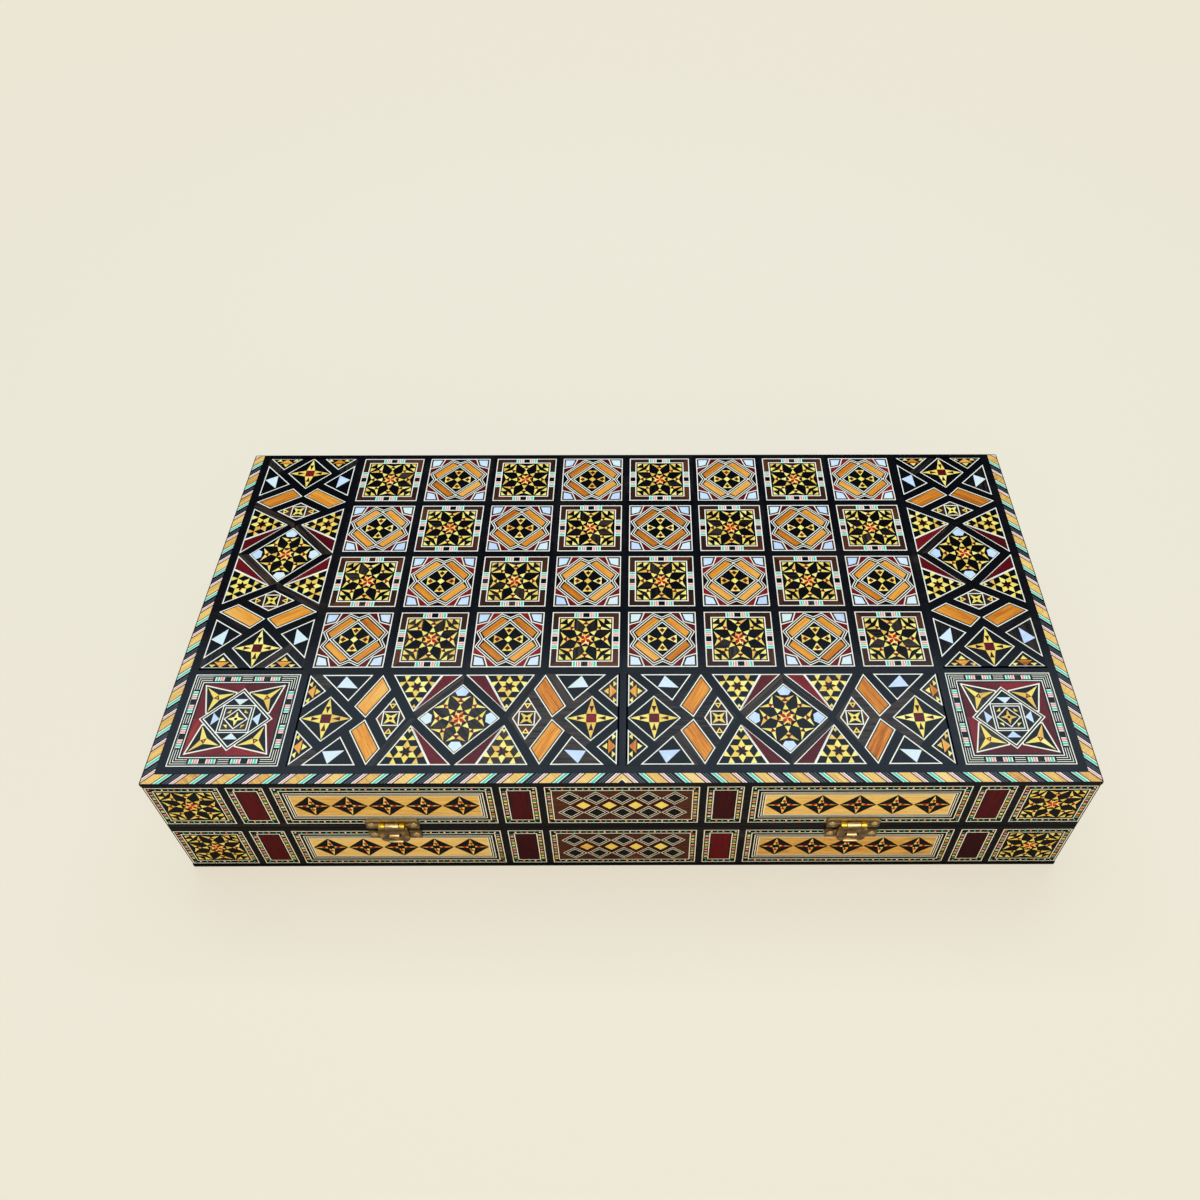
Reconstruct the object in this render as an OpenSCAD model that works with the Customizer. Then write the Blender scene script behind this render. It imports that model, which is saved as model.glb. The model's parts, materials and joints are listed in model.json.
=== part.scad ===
// Folding chess box: two equal wooden trays hinged along one long edge. Closed, the
// outer face of each tray carries half of a chess board in mosaic inlay; opened flat
// and turned over, the two faces make the whole board. Inside is a backgammon field.
// Origin: centre of the bottom face, X along the hinge, Y to the hinge side, Z up.

/* [Box] */
// Length along the hinge; the box is half as wide, so it opens to a square board
box_l = 500; // [470:1:600]
// Height of the closed box
box_h = 93; // [80:1:120]
// Gap between the rims of the closed trays
rim_gap = 0.4; // [0.2:0.1:0.8]
// Gap left at the hinge side, so that the open trays meet without rubbing
back_gap = 0.2; // [0.1:0.05:0.4]
// Thickness of the rails that make the walls
rail_t = 14; // [12:0.5:20]
// How far the rails stand back under the edge of the outer mosaic
rail_inset = 0.4; // [0.1:0.1:1]
// Radius of the upright corners of the rails
rail_corner_r = 0.8; // [0.3:0.1:0.9]
// Thickness of the core board between the rails
board_t = 5; // [3:0.5:8]
// Gap round the core board and the playing field
board_fit = 0.1; // [0.05:0.05:0.3]

/* [Outer mosaic] */
// Thickness of the mosaic on the two outer faces
skin_t = 2; // [1.6:0.1:3]
// Corner radius of the mosaic face, seen from above
skin_corner_r = 1.2; // [1:0.1:1.4]
// Rounding of the outer edge of the mosaic face
edge_r = 0.5; // [0.3:0.1:0.6]
// Black edge outside the rope banding
edge_w = 0.7; // [0.7:0.1:2]
// Width of the rope banding
rope_w = 5.6; // [4:0.1:9]
// Depth of the rope banding
rope_t = 1; // [0.6:0.1:1.3]
// Black strip inside the rope banding
inner_strip_w = 4.6; // [3:0.1:8]
// Width of the border panels and of the square corner panels
border_w = 58.6; // [48:0.2:62]
// Black strip between the side borders and the chess squares
frame_strip_w = 5.3; // [4:0.1:9]
// Black strip between the front border and the chess squares
front_strip_w = 4.6; // [3:0.1:6]
// Black strip between two columns of chess squares
strip_w = 4.8; // [4:0.1:7]
// Black strip between two rows of chess squares
row_strip_w = 4.4; // [3:0.1:5]
// Black strip between the two long panels of a border
centre_strip_w = 5.8; // [4:0.1:9]
// Gap round each inlaid piece
inlay_fit = 0.05; // [0.02:0.01:0.1]

/* [Wall mosaic] */
// Thickness of the mosaic panels in the front and side walls
wall_inlay_t = 0.8; // [0.5:0.1:0.9]
// Black margin between the outer face and the wall panels
wall_margin_outer = 3.9; // [3.5:0.1:8]
// Black margin between the rim and the wall panels
wall_margin_rim = 4.1; // [2:0.1:6]
// Black margin at each end of a wall
wall_margin_end = 1; // [1:0.1:2]
// Black strip between two wall panels
wall_strip_w = 3.9; // [3:0.1:5]
// Width of the star panels at the ends of a wall
wall_star_w = 38.1; // [30:0.1:42]
// Width of the plain red panels
wall_red_w = 19.4; // [14:0.1:24]
// Width of the row-of-diamonds panels in the front wall
wall_long_w = 115.4; // [95:0.1:120]

/* [Playing field] */
// Thickness of the inlaid playing field
field_t = 1.2; // [0.8:0.1:2]
// Points along each short end of one tray
point_count = 6; // [6:1:6]
// Gap between the feet of two points
point_gap = 2; // [1:0.5:6]
// Length of a point
point_l = 180; // [120:1:185]
// Radius of the rosette in the middle
rosette_r = 34; // [20:1:36]

/* [Hinges] */
// Distance of each hinge from the middle of the box
hinge_x = 150; // [100:1:190]
// Length of a hinge
hinge_l = 40; // [32:1:60]
// Thickness of a leaf
leaf_t = 1.2; // [1:0.1:1.6]
// Depth of a leaf, measured from the pin
leaf_w = 12; // [10.5:0.5:12.5]
// Outer radius of the knuckles
knuckle_r = 2.4; // [2:0.1:3]
// Radius of the hinge pin
pin_r = 1.1; // [0.8:0.05:1.2]
// Radius of the heads on the ends of the pin
pin_head_r = 1.9; // [1.5:0.1:2]
// Length of each pin head
pin_head_l = 1; // [0.6:0.1:2]
// Running clearance of a pin in its knuckles
pin_fit = 0.05; // [0.02:0.01:0.1]
// Gap between neighbouring knuckles
knuckle_gap = 0.3; // [0.2:0.05:0.6]
// Clearance round the knuckles in the rails
knuckle_clear = 0.4; // [0.3:0.05:0.8]
// Distance between two neighbouring screws of a leaf
leaf_screw_pitch = 13; // [9:0.5:14]
// Distance of the leaf screws from the pin
leaf_screw_y = 7.6; // [6.5:0.1:8]

/* [Screws] */
// Radius of a screw shank
screw_r = 1.1; // [0.8:0.05:1.3]
// Length of a screw below its head
screw_l = 9; // [6:0.5:12]
// Radius of a screw head
screw_head_r = 2; // [1.6:0.1:2.3]
// Height of the round heads of the latch screws
round_head_h = 0.9; // [0.6:0.1:1.2]
// Clearance of a screw in its holes
screw_fit = 0.05; // [0.02:0.01:0.1]
// Width of the slot in a screw head
slot_w = 0.55; // [0.4:0.05:0.8]
// Depth of the slot in a screw head
slot_d = 0.4; // [0.3:0.05:0.5]

/* [Latches] */
// Width of the latch plate and of the catch plate
plate_w = 29; // [27:0.5:36]
// Height of both plates
plate_h = 8; // [7.6:0.1:8.2]
// Thickness of both plates
plate_t = 1.5; // [1:0.1:1.6]
// Corner radius of both plates
plate_corner_r = 1.2; // [0.6:0.1:1.5]
// Distance from the seam to the latch plate
plate_seam_gap = 1.4; // [1:0.1:1.6]
// Distance from the seam down to the top of the catch plate
catch_drop = 1.4; // [1.2:0.1:1.8]
// Distance between the two screws of a plate
plate_screw_pitch = 23; // [22.5:0.1:24]
// Radius of the latch knuckles
tongue_knuckle_r = 2; // [1.8:0.1:2.1]
// Radius of the latch pin
latch_pin_r = 0.8; // [0.6:0.05:1]
// Length of the knuckle on the tongue
tongue_knuckle_l = 7.4; // [6:0.1:8]
// Length of each knuckle on the latch plate
side_knuckle_l = 2.9; // [2:0.1:3]
// Thickness of the tongue
tongue_t = 1.2; // [0.8:0.1:1.3]
// Width of the tongue
tongue_w = 16; // [14:0.5:17]
// Length of the tongue below its pin
tongue_l = 17.2; // [16.6:0.1:18]
// Gap between the tongue and the plates behind it
tongue_gap = 0.3; // [0.2:0.05:0.4]
// Radius of the lower corners of the tongue
tongue_corner_r = 4.2; // [2:0.1:4.3]
// Radius of the rolled lip at the foot of the tongue
lip_r = 0.9; // [0.6:0.05:1.1]
// Width of the catch nose
nose_w = 5.4; // [4:0.1:6]
// Radius of the rounded catch nose
nose_r = 1.5; // [1.3:0.05:1.6]
// How far the nose axis stands out from the catch plate
nose_out = 1.2; // [0.9:0.1:1.4]
// Clearance between the nose and its window in the tongue
nose_fit = 0.5; // [0.4:0.05:0.6]

/* [Hidden] */
$fn = 48;
EPS = 0.01;
CUT = 1;

box_w = box_l / 2;
seam_z = box_h / 2;
rim_z = seam_z - rim_gap / 2;
half_l = box_l / 2;
front_y = -box_w / 2;
hinge_y = box_w / 2;
back_y = hinge_y - back_gap;

// outer faces of the rails, and the clear inside of a tray
rail_x = half_l - rail_inset;
rail_front_y = front_y + rail_inset;
rail_back_y = back_y - rail_inset;
in_x = rail_x - rail_t;
in_front_y = rail_front_y + rail_t;
in_back_y = rail_back_y - rail_t;
board_z = skin_t;
field_z = board_z + board_t;

// chess squares: eight squares and seven strips fill the length between the borders;
// the four rows of a tray start behind its front border and reach the hinge side
edge_margin = edge_w + rope_w + inner_strip_w;
grid_l = box_l - 2 * (edge_margin + border_w + frame_strip_w);
square_w = (grid_l - 7 * strip_w) / 8;
pitch = square_w + strip_w;
row_pitch = square_w + row_strip_w;
border_x = half_l - edge_margin - border_w;
border_y = front_y + edge_margin;
border_in_y = border_y + border_w;
row_y = border_in_y + front_strip_w;
rows_end_y = row_y + 4 * square_w + 3 * row_strip_w;
long_panel_l = (grid_l - centre_strip_w) / 2;
over = 0.2;

// wall panels, shared by the front and the side walls
wall_h = seam_z - wall_margin_outer - wall_margin_rim - rim_gap / 2;
star_mid = wall_margin_end + wall_star_w / 2;
red_mid = wall_margin_end + wall_star_w + wall_strip_w + wall_red_w / 2;
long_mid = red_mid + wall_red_w / 2 + wall_strip_w + wall_long_w / 2;
inner_red_mid = long_mid + wall_long_w / 2 + wall_strip_w + wall_red_w / 2;
centre_w = 2 * (rail_x - inner_red_mid - wall_red_w / 2 - wall_strip_w);
side_l = rail_back_y - rail_front_y;
side_mid_w = side_l - 2 * (red_mid + wall_red_w / 2 + wall_strip_w);
latch_x = rail_x - long_mid;

// playing field
field_x = in_x - board_fit;
field_y0 = in_front_y + board_fit;
field_y1 = in_back_y - board_fit;
field_mid_y = (field_y0 + field_y1) / 2;
point_pitch = (field_y1 - field_y0) / point_count;

// hinges
knuckle_count = 5;
knuckle_l = (hinge_l - (knuckle_count - 1) * knuckle_gap) / knuckle_count;
leaf_z = rim_z - leaf_t;
leaf_y = hinge_y - leaf_w;
head_land = 0.25;

// latches: the pin's axis lies in front of the wall, above the seam
plate_z = seam_z + plate_seam_gap;
axis_y = rail_front_y - tongue_knuckle_r - 0.2;
axis_z = plate_z + plate_h - 3.6;
plate_mid_z = plate_z + plate_h / 2;
catch_z = seam_z - catch_drop - plate_h;
catch_mid_z = catch_z + plate_h / 2;
tongue_in_y = rail_front_y - plate_t - tongue_gap;
tongue_foot_z = axis_z - tongue_l;
shoulder_drop = tongue_knuckle_r + 0.6;
nose_y = rail_front_y - plate_t - nose_out;
nose_z = catch_mid_z + 1.4;
window_w = nose_w + 2 * 0.8;
plate_slot_w = tongue_knuckle_l + 2 * knuckle_gap;

EBONY = [0.05, 0.05, 0.07];
WALNUT = [0.33, 0.2, 0.12];
PLY = [0.72, 0.56, 0.38];
BRASS = [0.72, 0.58, 0.3];
GOLD = [0.87, 0.66, 0.2];
CREAM = [0.85, 0.84, 0.74];
AMBER = [0.82, 0.5, 0.18];
RED = [0.45, 0.08, 0.1];
ROPE = [0.9, 0.72, 0.44];
BLUE_GREY = [0.45, 0.55, 0.62];

// ---- helpers ----

// a block between two corners
module block(x0, x1, y0, y1, z0, z1) {
    translate([x0, y0, z0]) cube([x1 - x0, y1 - y0, z1 - z0]);
}

// how far a pocket runs past the open face or the sharp tip of its piece
function past(grow) = grow > 0 ? over : 0;

// the lid is the base turned over about the seam
module on_lid() {
    translate([0, 0, box_h]) mirror([0, 0, 1]) children();
}

module x_rod(r, l) {
    rotate([0, 90, 0]) cylinder(r = r, h = l, center = true);
}

module both_sides() {
    children();
    mirror([1, 0, 0]) children();
}

// plan outline with round corners
module round_plan(x0, x1, y0, y1, r) {
    translate([x0 + r, y0]) square([x1 - x0 - 2 * r, y1 - y0]);
    translate([x0, y0 + r]) square([x1 - x0, y1 - y0 - 2 * r]);
    for (x = [x0 + r, x1 - r], y = [y0 + r, y1 - r]) translate([x, y]) circle(r = r);
}

// outline of a tray's rails, seen from above
module rail_plan() {
    round_plan(-rail_x, rail_x, rail_front_y, rail_back_y, rail_corner_r);
}

// ---- rails ----

// one rail of a tray between its two mitres, up to the rim
module rail_blank(points) {
    translate([0, 0, skin_t]) linear_extrude(rim_z - skin_t) intersection() {
        polygon(points);
        rail_plan();
    }
}

// a pocket or a panel in the front wall, centred x mm from the middle of the box
module front_panel(x, w, grow) {
    block(x - w / 2 - grow, x + w / 2 + grow, rail_front_y - past(grow),
        rail_front_y + wall_inlay_t,
        wall_margin_outer - grow, wall_margin_outer + wall_h + grow);
}

// the same in the left or right wall, centred d mm behind the front corner
module side_panel(side, d, w, grow) {
    y = rail_front_y + d;
    scale([side, 1, 1]) block(rail_x - wall_inlay_t, rail_x + past(grow),
        y - w / 2 - grow, y + w / 2 + grow,
        wall_margin_outer - grow, wall_margin_outer + wall_h + grow);
}

module side_pair(d, w, grow) {
    for (side = [-1, 1], y = [d, side_l - d]) side_panel(side, y, w, grow);
}

module front_pair(d, w, grow) {
    both_sides() front_panel(rail_x - d, w, grow);
}

module wall_star_panels(grow = 0) {
    front_pair(star_mid, wall_star_w, grow);
    side_pair(star_mid, wall_star_w, grow);
}

module wall_red_panels(grow = 0) {
    front_pair(red_mid, wall_red_w, grow);
    front_pair(inner_red_mid, wall_red_w, grow);
    side_pair(red_mid, wall_red_w, grow);
}

module wall_diamond_panels(grow = 0) {
    front_pair(long_mid, wall_long_w, grow);
    for (side = [-1, 1]) side_panel(side, side_l / 2, side_mid_w, grow);
}

module wall_centre_panel(grow = 0) {
    front_panel(0, centre_w, grow);
}

module wall_pockets() {
    wall_star_panels(inlay_fit);
    wall_red_panels(inlay_fit);
    wall_diamond_panels(inlay_fit);
    wall_centre_panel(inlay_fit);
}

module front_rail() {
    difference() {
        rail_blank([[-rail_x, rail_front_y], [rail_x, rail_front_y],
            [in_x, in_front_y], [-in_x, in_front_y]]);
        wall_pockets();
    }
}

module left_rail() {
    difference() {
        rail_blank([[-rail_x, rail_front_y], [-in_x, in_front_y],
            [-in_x, in_back_y], [-rail_x, rail_back_y]]);
        wall_pockets();
    }
}

module back_rail() {
    difference() {
        rail_blank([[-rail_x, rail_back_y], [-in_x, in_back_y],
            [in_x, in_back_y], [rail_x, rail_back_y]]);
        both_sides() translate([hinge_x, 0, 0]) hinge_mortise();
    }
}

// room in the rim of a back rail for one leaf and for the knuckles
module hinge_mortise() {
    leaf_half = hinge_l / 2 + board_fit;
    barrel_half = hinge_l / 2 + pin_head_l + knuckle_clear;
    block(-leaf_half, leaf_half, leaf_y - board_fit, hinge_y, leaf_z, rim_z + CUT);
    translate([0, hinge_y, seam_z]) x_rod(knuckle_r + knuckle_clear, 2 * barrel_half);
    leaf_screw_places() translate([0, 0, -leaf_t]) pilot_hole();
}

// ---- core, field and outer mosaic of a tray ----

module inside_sheet(z, t) {
    block(-field_x, field_x, field_y0, field_y1, z, z + t);
}

// one point of the playing field: end is -1 for the left end and 1 for the right
module field_point(end, i, grow = 0) {
    y = field_y0 + (i + 0.5) * point_pitch;
    foot = (point_pitch - point_gap) / 2 + grow;
    x0 = field_x + grow;
    scale([end, 1, 1]) translate([0, 0, field_z]) linear_extrude(field_t + grow)
        polygon([[x0, y - foot], [x0, y + foot], [field_x - point_l - past(grow), y]]);
}

// every second point, counted from the front; shade picks which ones
module field_points(shade, grow = 0) {
    for (end = [-1, 1], i = [0 : point_count - 1])
        if ((i + (end + 1) / 2 + shade) % 2 == 0) field_point(end, i, grow);
}

module rosette(grow = 0) {
    translate([0, field_mid_y, field_z]) cylinder(r = rosette_r + grow, h = field_t + grow);
}

module playing_field() {
    difference() {
        inside_sheet(field_z, field_t);
        field_points(0, inlay_fit);
        field_points(1, inlay_fit);
        rosette(inlay_fit);
    }
}

// outer plate with rounded edges towards z = 0
module skin_blank() {
    r = edge_r;
    rc = skin_corner_r;
    translate([0, 0, r]) linear_extrude(skin_t - r)
        round_plan(-half_l, half_l, front_y, back_y, rc);
    linear_extrude(skin_t)
        round_plan(-half_l + r, half_l - r, front_y + r, back_y - r, rc - r);
    for (y = [front_y + r, back_y - r]) translate([0, y, r]) x_rod(r, box_l - 2 * rc);
    for (x = [-half_l + r, half_l - r]) translate([x, (front_y + back_y) / 2, r])
        rotate([90, 0, 0]) cylinder(r = r, h = back_y - front_y - 2 * rc, center = true);
    for (x = [-half_l + rc, half_l - rc], y = [front_y + rc, back_y - rc])
        translate([x, y, r]) rotate_extrude() intersection() {
            translate([rc - r, 0]) circle(r = r);
            translate([0, -r]) square([rc, 2 * r]);
        }
}

// a piece of the outer mosaic between two corners, or its pocket
module tile(x0, x1, y0, y1, grow) {
    block(x0 - grow, x1 + grow, y0 - grow, y1 + grow, -past(grow), skin_t + grow);
}

module square_tile(col, row, grow) {
    x = -grid_l / 2 + col * pitch;
    y = rows_end_y - row * row_pitch - square_w;
    tile(x, x + square_w, y, y + square_w, grow);
}

// squares of one kind: colour 0 holds the square at the left end of the hinge side
module squares(colour, grow = 0) {
    for (col = [0 : 7], row = [0 : 3])
        if ((col + row + colour) % 2 == 0) square_tile(col, row, grow);
}

module border_panels(grow = 0) {
    x = centre_strip_w / 2;
    both_sides() tile(x, x + long_panel_l, border_y, border_in_y, grow);
}

module end_panels(grow = 0) {
    both_sides() tile(border_x, border_x + border_w, row_y, rows_end_y, grow);
}

module corner_panels(grow = 0) {
    both_sides() tile(border_x, border_x + border_w, border_y, border_in_y, grow);
}

// rope banding along the front and both ends, mitred at the front corners
module rope_banding(grow = 0) {
    xo = half_l - edge_w + grow;
    xi = half_l - edge_w - rope_w - grow;
    yo = front_y + edge_w - grow;
    yi = front_y + edge_w + rope_w + grow;
    ye = back_y - edge_w + grow;
    gap = inlay_fit - grow;
    translate([0, 0, -past(grow)]) linear_extrude(rope_t + past(grow)) {
        polygon([[-xo + gap, yo], [xo - gap, yo], [xi - gap, yi], [-xi + gap, yi]]);
        both_sides() polygon([[xo, yo + gap], [xo, ye], [xi, ye], [xi, yi + gap]]);
    }
}

module lattice() {
    difference() {
        skin_blank();
        squares(0, inlay_fit);
        squares(1, inlay_fit);
        border_panels(inlay_fit);
        end_panels(inlay_fit);
        corner_panels(inlay_fit);
        rope_banding(inlay_fit);
    }
}

// ---- screws ----

// hole for a shank, pointing down from the origin
module pilot_hole() {
    translate([0, 0, -screw_l - board_fit])
        cylinder(r = screw_r + screw_fit, h = screw_l + board_fit + CUT);
}

module shank() {
    tip = 2 * screw_r;
    translate([0, 0, -screw_l + tip]) cylinder(r = screw_r, h = screw_l - tip + EPS);
    translate([0, 0, -screw_l]) cylinder(r1 = 0.2, r2 = screw_r, h = tip);
}

module screw_slot(z) {
    translate([-screw_head_r * 2, -slot_w / 2, z - slot_d])
        cube([screw_head_r * 4, slot_w, slot_d + CUT]);
}

// screw with a flat head sunk into a hinge leaf, whose top is at z = 0
module flat_screw() {
    difference() {
        union() {
            translate([0, 0, -leaf_t]) shank();
            translate([0, 0, -leaf_t]) cylinder(r = screw_r, h = leaf_t - head_land);
            translate([0, 0, -leaf_t + head_land])
                cylinder(r1 = screw_r, r2 = screw_head_r, h = leaf_t - head_land - screw_fit);
        }
        screw_slot(-screw_fit);
    }
}

module sunk_hole() {
    translate([0, 0, -leaf_t - CUT]) cylinder(r = screw_r + screw_fit, h = leaf_t + 2 * CUT);
    translate([0, 0, -leaf_t + head_land])
        cylinder(r1 = screw_r + screw_fit, r2 = screw_head_r + screw_fit * 2,
            h = leaf_t - head_land + EPS);
}

// screw with a round head that stands on a plate at z = 0
module round_screw() {
    dome_r = (screw_head_r * screw_head_r + round_head_h * round_head_h) / (2 * round_head_h);
    difference() {
        union() {
            translate([0, 0, -plate_t]) shank();
            translate([0, 0, -plate_t]) cylinder(r = screw_r, h = plate_t + EPS);
            intersection() {
                translate([0, 0, round_head_h - dome_r]) sphere(r = dome_r, $fn = 64);
                cylinder(r = screw_head_r + CUT, h = round_head_h + CUT);
            }
        }
        rotate([0, 0, 40]) screw_slot(round_head_h);
    }
}

// ---- hinges ----

module leaf_screw_places() {
    for (i = [-1 : 1]) translate([i * leaf_screw_pitch, hinge_y - leaf_screw_y, rim_z])
        children();
}

// leaf of the base with its three knuckles; parity 1 gives the two of the lid
module leaf(parity) {
    step = knuckle_l + knuckle_gap;
    first = -hinge_l / 2 + knuckle_l / 2;
    difference() {
        union() {
            block(-hinge_l / 2, hinge_l / 2, leaf_y, hinge_y - knuckle_r - knuckle_clear,
                leaf_z, rim_z);
            for (i = [0 : knuckle_count - 1]) if (i % 2 == parity)
                translate([first + i * step, 0, 0]) {
                    translate([0, hinge_y, seam_z]) x_rod(knuckle_r, knuckle_l);
                    block(-knuckle_l / 2, knuckle_l / 2, leaf_y + leaf_w / 2, hinge_y,
                        leaf_z, rim_z);
                }
        }
        translate([0, hinge_y, seam_z]) x_rod(pin_r + pin_fit, hinge_l + CUT);
        leaf_screw_places() sunk_hole();
    }
}

module hinge_pin() {
    translate([0, hinge_y, seam_z]) {
        x_rod(pin_r, hinge_l + 2 * knuckle_gap);
        for (side = [-1, 1])
            translate([side * (hinge_l / 2 + pin_fit + pin_head_l / 2), 0, 0])
                x_rod(pin_head_r, pin_head_l);
    }
}

// ---- latches, drawn on the middle of the front wall ----

// plate outline standing against the wall, from z up
module plate(z) {
    translate([0, rail_front_y, z]) rotate([90, 0, 0]) linear_extrude(plate_t)
        round_plan(-plate_w / 2, plate_w / 2, 0, plate_h, plate_corner_r);
}

// places of the two screws of a plate, with +Z pointing out of the wall
module plate_screw_places(z) {
    for (side = [-1, 1])
        translate([side * plate_screw_pitch / 2, rail_front_y - plate_t, z])
            rotate([90, 0, 0]) children();
}

module latch_axis() {
    translate([0, axis_y, axis_z]) children();
}

module latch_plate() {
    side_x = plate_slot_w / 2 + side_knuckle_l / 2;
    difference() {
        union() {
            difference() {
                plate(plate_z);
                block(-plate_slot_w / 2, plate_slot_w / 2, rail_front_y - plate_t - CUT,
                    rail_front_y + CUT, plate_z - CUT, axis_z + tongue_knuckle_r + tongue_gap);
            }
            latch_axis() for (side = [-1, 1])
                translate([side * side_x, 0, 0]) x_rod(tongue_knuckle_r, side_knuckle_l);
        }
        latch_axis() x_rod(latch_pin_r + pin_fit, plate_w);
        plate_screw_places(plate_mid_z) plate_hole();
    }
}

module plate_hole() {
    translate([0, 0, -plate_t - CUT]) cylinder(r = screw_r + screw_fit, h = plate_t + 2 * CUT);
}

module latch_pin() {
    latch_axis() x_rod(latch_pin_r, plate_slot_w + 2 * side_knuckle_l);
}

// outline of the tongue's broad part, seen from the front; the foot is at v = 0
module tongue_plan() {
    h = tongue_l - shoulder_drop;
    r = tongue_corner_r;
    w = tongue_w / 2;
    top_r = 1.2;
    translate([-w + r, 0]) square([2 * (w - r), h]);
    translate([-w, r]) square([2 * w, h - r - top_r]);
    translate([-w + top_r, r]) square([2 * (w - top_r), h - r]);
    for (side = [-1, 1]) {
        translate([side * (w - r), r]) circle(r = r);
        translate([side * (w - top_r), h - top_r]) circle(r = top_r);
    }
}

module latch_tongue() {
    difference() {
        union() {
            translate([0, tongue_in_y, tongue_foot_z]) rotate([90, 0, 0])
                linear_extrude(tongue_t) tongue_plan();
            block(-tongue_knuckle_l / 2, tongue_knuckle_l / 2, tongue_in_y - tongue_t,
                tongue_in_y, axis_z - shoulder_drop - CUT, axis_z);
            latch_axis() x_rod(tongue_knuckle_r, tongue_knuckle_l);
            translate([0, tongue_in_y - tongue_t, tongue_foot_z + lip_r])
                x_rod(lip_r, tongue_w - 2 * tongue_corner_r);
        }
        latch_axis() x_rod(latch_pin_r + pin_fit, tongue_w);
        block(-window_w / 2, window_w / 2, tongue_in_y - tongue_t - CUT, tongue_in_y + CUT,
            nose_z - nose_r - nose_fit, nose_z + nose_r + nose_fit);
    }
}

module catch_plate() {
    difference() {
        union() {
            plate(catch_z);
            translate([0, nose_y, nose_z]) x_rod(nose_r, nose_w);
            block(-nose_w / 2, nose_w / 2, nose_y, rail_front_y - plate_t / 2,
                nose_z - nose_r, nose_z + nose_r);
        }
        plate_screw_places(catch_mid_z) plate_hole();
    }
}

// holes that the plate screws need in the wall behind them
module plate_pilot_holes(z) {
    both_sides() translate([latch_x, 0, 0]) plate_screw_places(z)
        translate([0, 0, -plate_t]) pilot_hole();
}

// ---- sub-parts of the base ----

module base_board() { color(PLY) inside_sheet(board_z, board_t); }
module base_front_rail() {
    color(EBONY) difference() {
        front_rail();
        plate_pilot_holes(catch_mid_z);
    }
}
module base_back_rail() { color(EBONY) back_rail(); }
module base_left_rail() { color(EBONY) left_rail(); }
module base_right_rail() { color(EBONY) mirror([1, 0, 0]) left_rail(); }
module base_lattice() { color(EBONY) lattice(); }
module base_star_squares() { color(GOLD) squares(1); }
module base_diamond_squares() { color(AMBER) squares(0); }
module base_border_panels() { color(AMBER) border_panels(); }
module base_end_panels() { color(AMBER) end_panels(); }
module base_corner_panels() { color(RED) corner_panels(); }
module base_rope_banding() { color(ROPE) rope_banding(); }
module base_wall_star_panels() { color(GOLD) wall_star_panels(); }
module base_wall_red_panels() { color(RED) wall_red_panels(); }
module base_wall_diamond_panels() {
    color(AMBER) difference() {
        wall_diamond_panels();
        plate_pilot_holes(catch_mid_z);
    }
}
module base_wall_centre_panel() { color(WALNUT) wall_centre_panel(); }
module base_playing_field() { color(WALNUT) playing_field(); }
module base_light_points() { color(CREAM) field_points(0); }
module base_dark_points() { color(RED) field_points(1); }
module base_rosette() { color(BLUE_GREY) rosette(); }

// ---- sub-parts of the lid ----

module lid_board() { color(PLY) on_lid() inside_sheet(board_z, board_t); }
module lid_front_rail() {
    color(EBONY) difference() {
        on_lid() front_rail();
        plate_pilot_holes(plate_mid_z);
    }
}
module lid_back_rail() { color(EBONY) on_lid() back_rail(); }
module lid_left_rail() { color(EBONY) on_lid() left_rail(); }
module lid_right_rail() { color(EBONY) on_lid() mirror([1, 0, 0]) left_rail(); }
module lid_lattice() { color(EBONY) on_lid() lattice(); }
module lid_star_squares() { color(GOLD) on_lid() squares(0); }
module lid_diamond_squares() { color(AMBER) on_lid() squares(1); }
module lid_border_panels() { color(AMBER) on_lid() border_panels(); }
module lid_end_panels() { color(AMBER) on_lid() end_panels(); }
module lid_corner_panels() { color(RED) on_lid() corner_panels(); }
module lid_rope_banding() { color(ROPE) on_lid() rope_banding(); }
module lid_wall_star_panels() { color(GOLD) on_lid() wall_star_panels(); }
module lid_wall_red_panels() { color(RED) on_lid() wall_red_panels(); }
module lid_wall_diamond_panels() {
    color(AMBER) difference() {
        on_lid() wall_diamond_panels();
        plate_pilot_holes(plate_mid_z);
    }
}
module lid_wall_centre_panel() { color(WALNUT) on_lid() wall_centre_panel(); }
module lid_playing_field() { color(WALNUT) on_lid() playing_field(); }
module lid_light_points() { color(CREAM) on_lid() field_points(1); }
module lid_dark_points() { color(RED) on_lid() field_points(0); }
module lid_rosette() { color(BLUE_GREY) on_lid() rosette(); }

// ---- fittings ----

module at_hinge(side) { translate([side * hinge_x, 0, 0]) children(); }
module at_latch(side) { translate([side * latch_x, 0, 0]) children(); }

module left_hinge_base_leaf() { color(BRASS) at_hinge(-1) leaf(0); }
module left_hinge_lid_leaf() { color(BRASS) at_hinge(-1) on_lid() leaf(1); }
module left_hinge_pin() { color(BRASS) at_hinge(-1) hinge_pin(); }
module right_hinge_base_leaf() { color(BRASS) at_hinge(1) leaf(0); }
module right_hinge_lid_leaf() { color(BRASS) at_hinge(1) on_lid() leaf(1); }
module right_hinge_pin() { color(BRASS) at_hinge(1) hinge_pin(); }
module base_hinge_screws() {
    color(BRASS) for (side = [-1, 1]) at_hinge(side) leaf_screw_places() flat_screw();
}
module lid_hinge_screws() {
    color(BRASS) for (side = [-1, 1])
        at_hinge(side) on_lid() leaf_screw_places() flat_screw();
}

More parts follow.
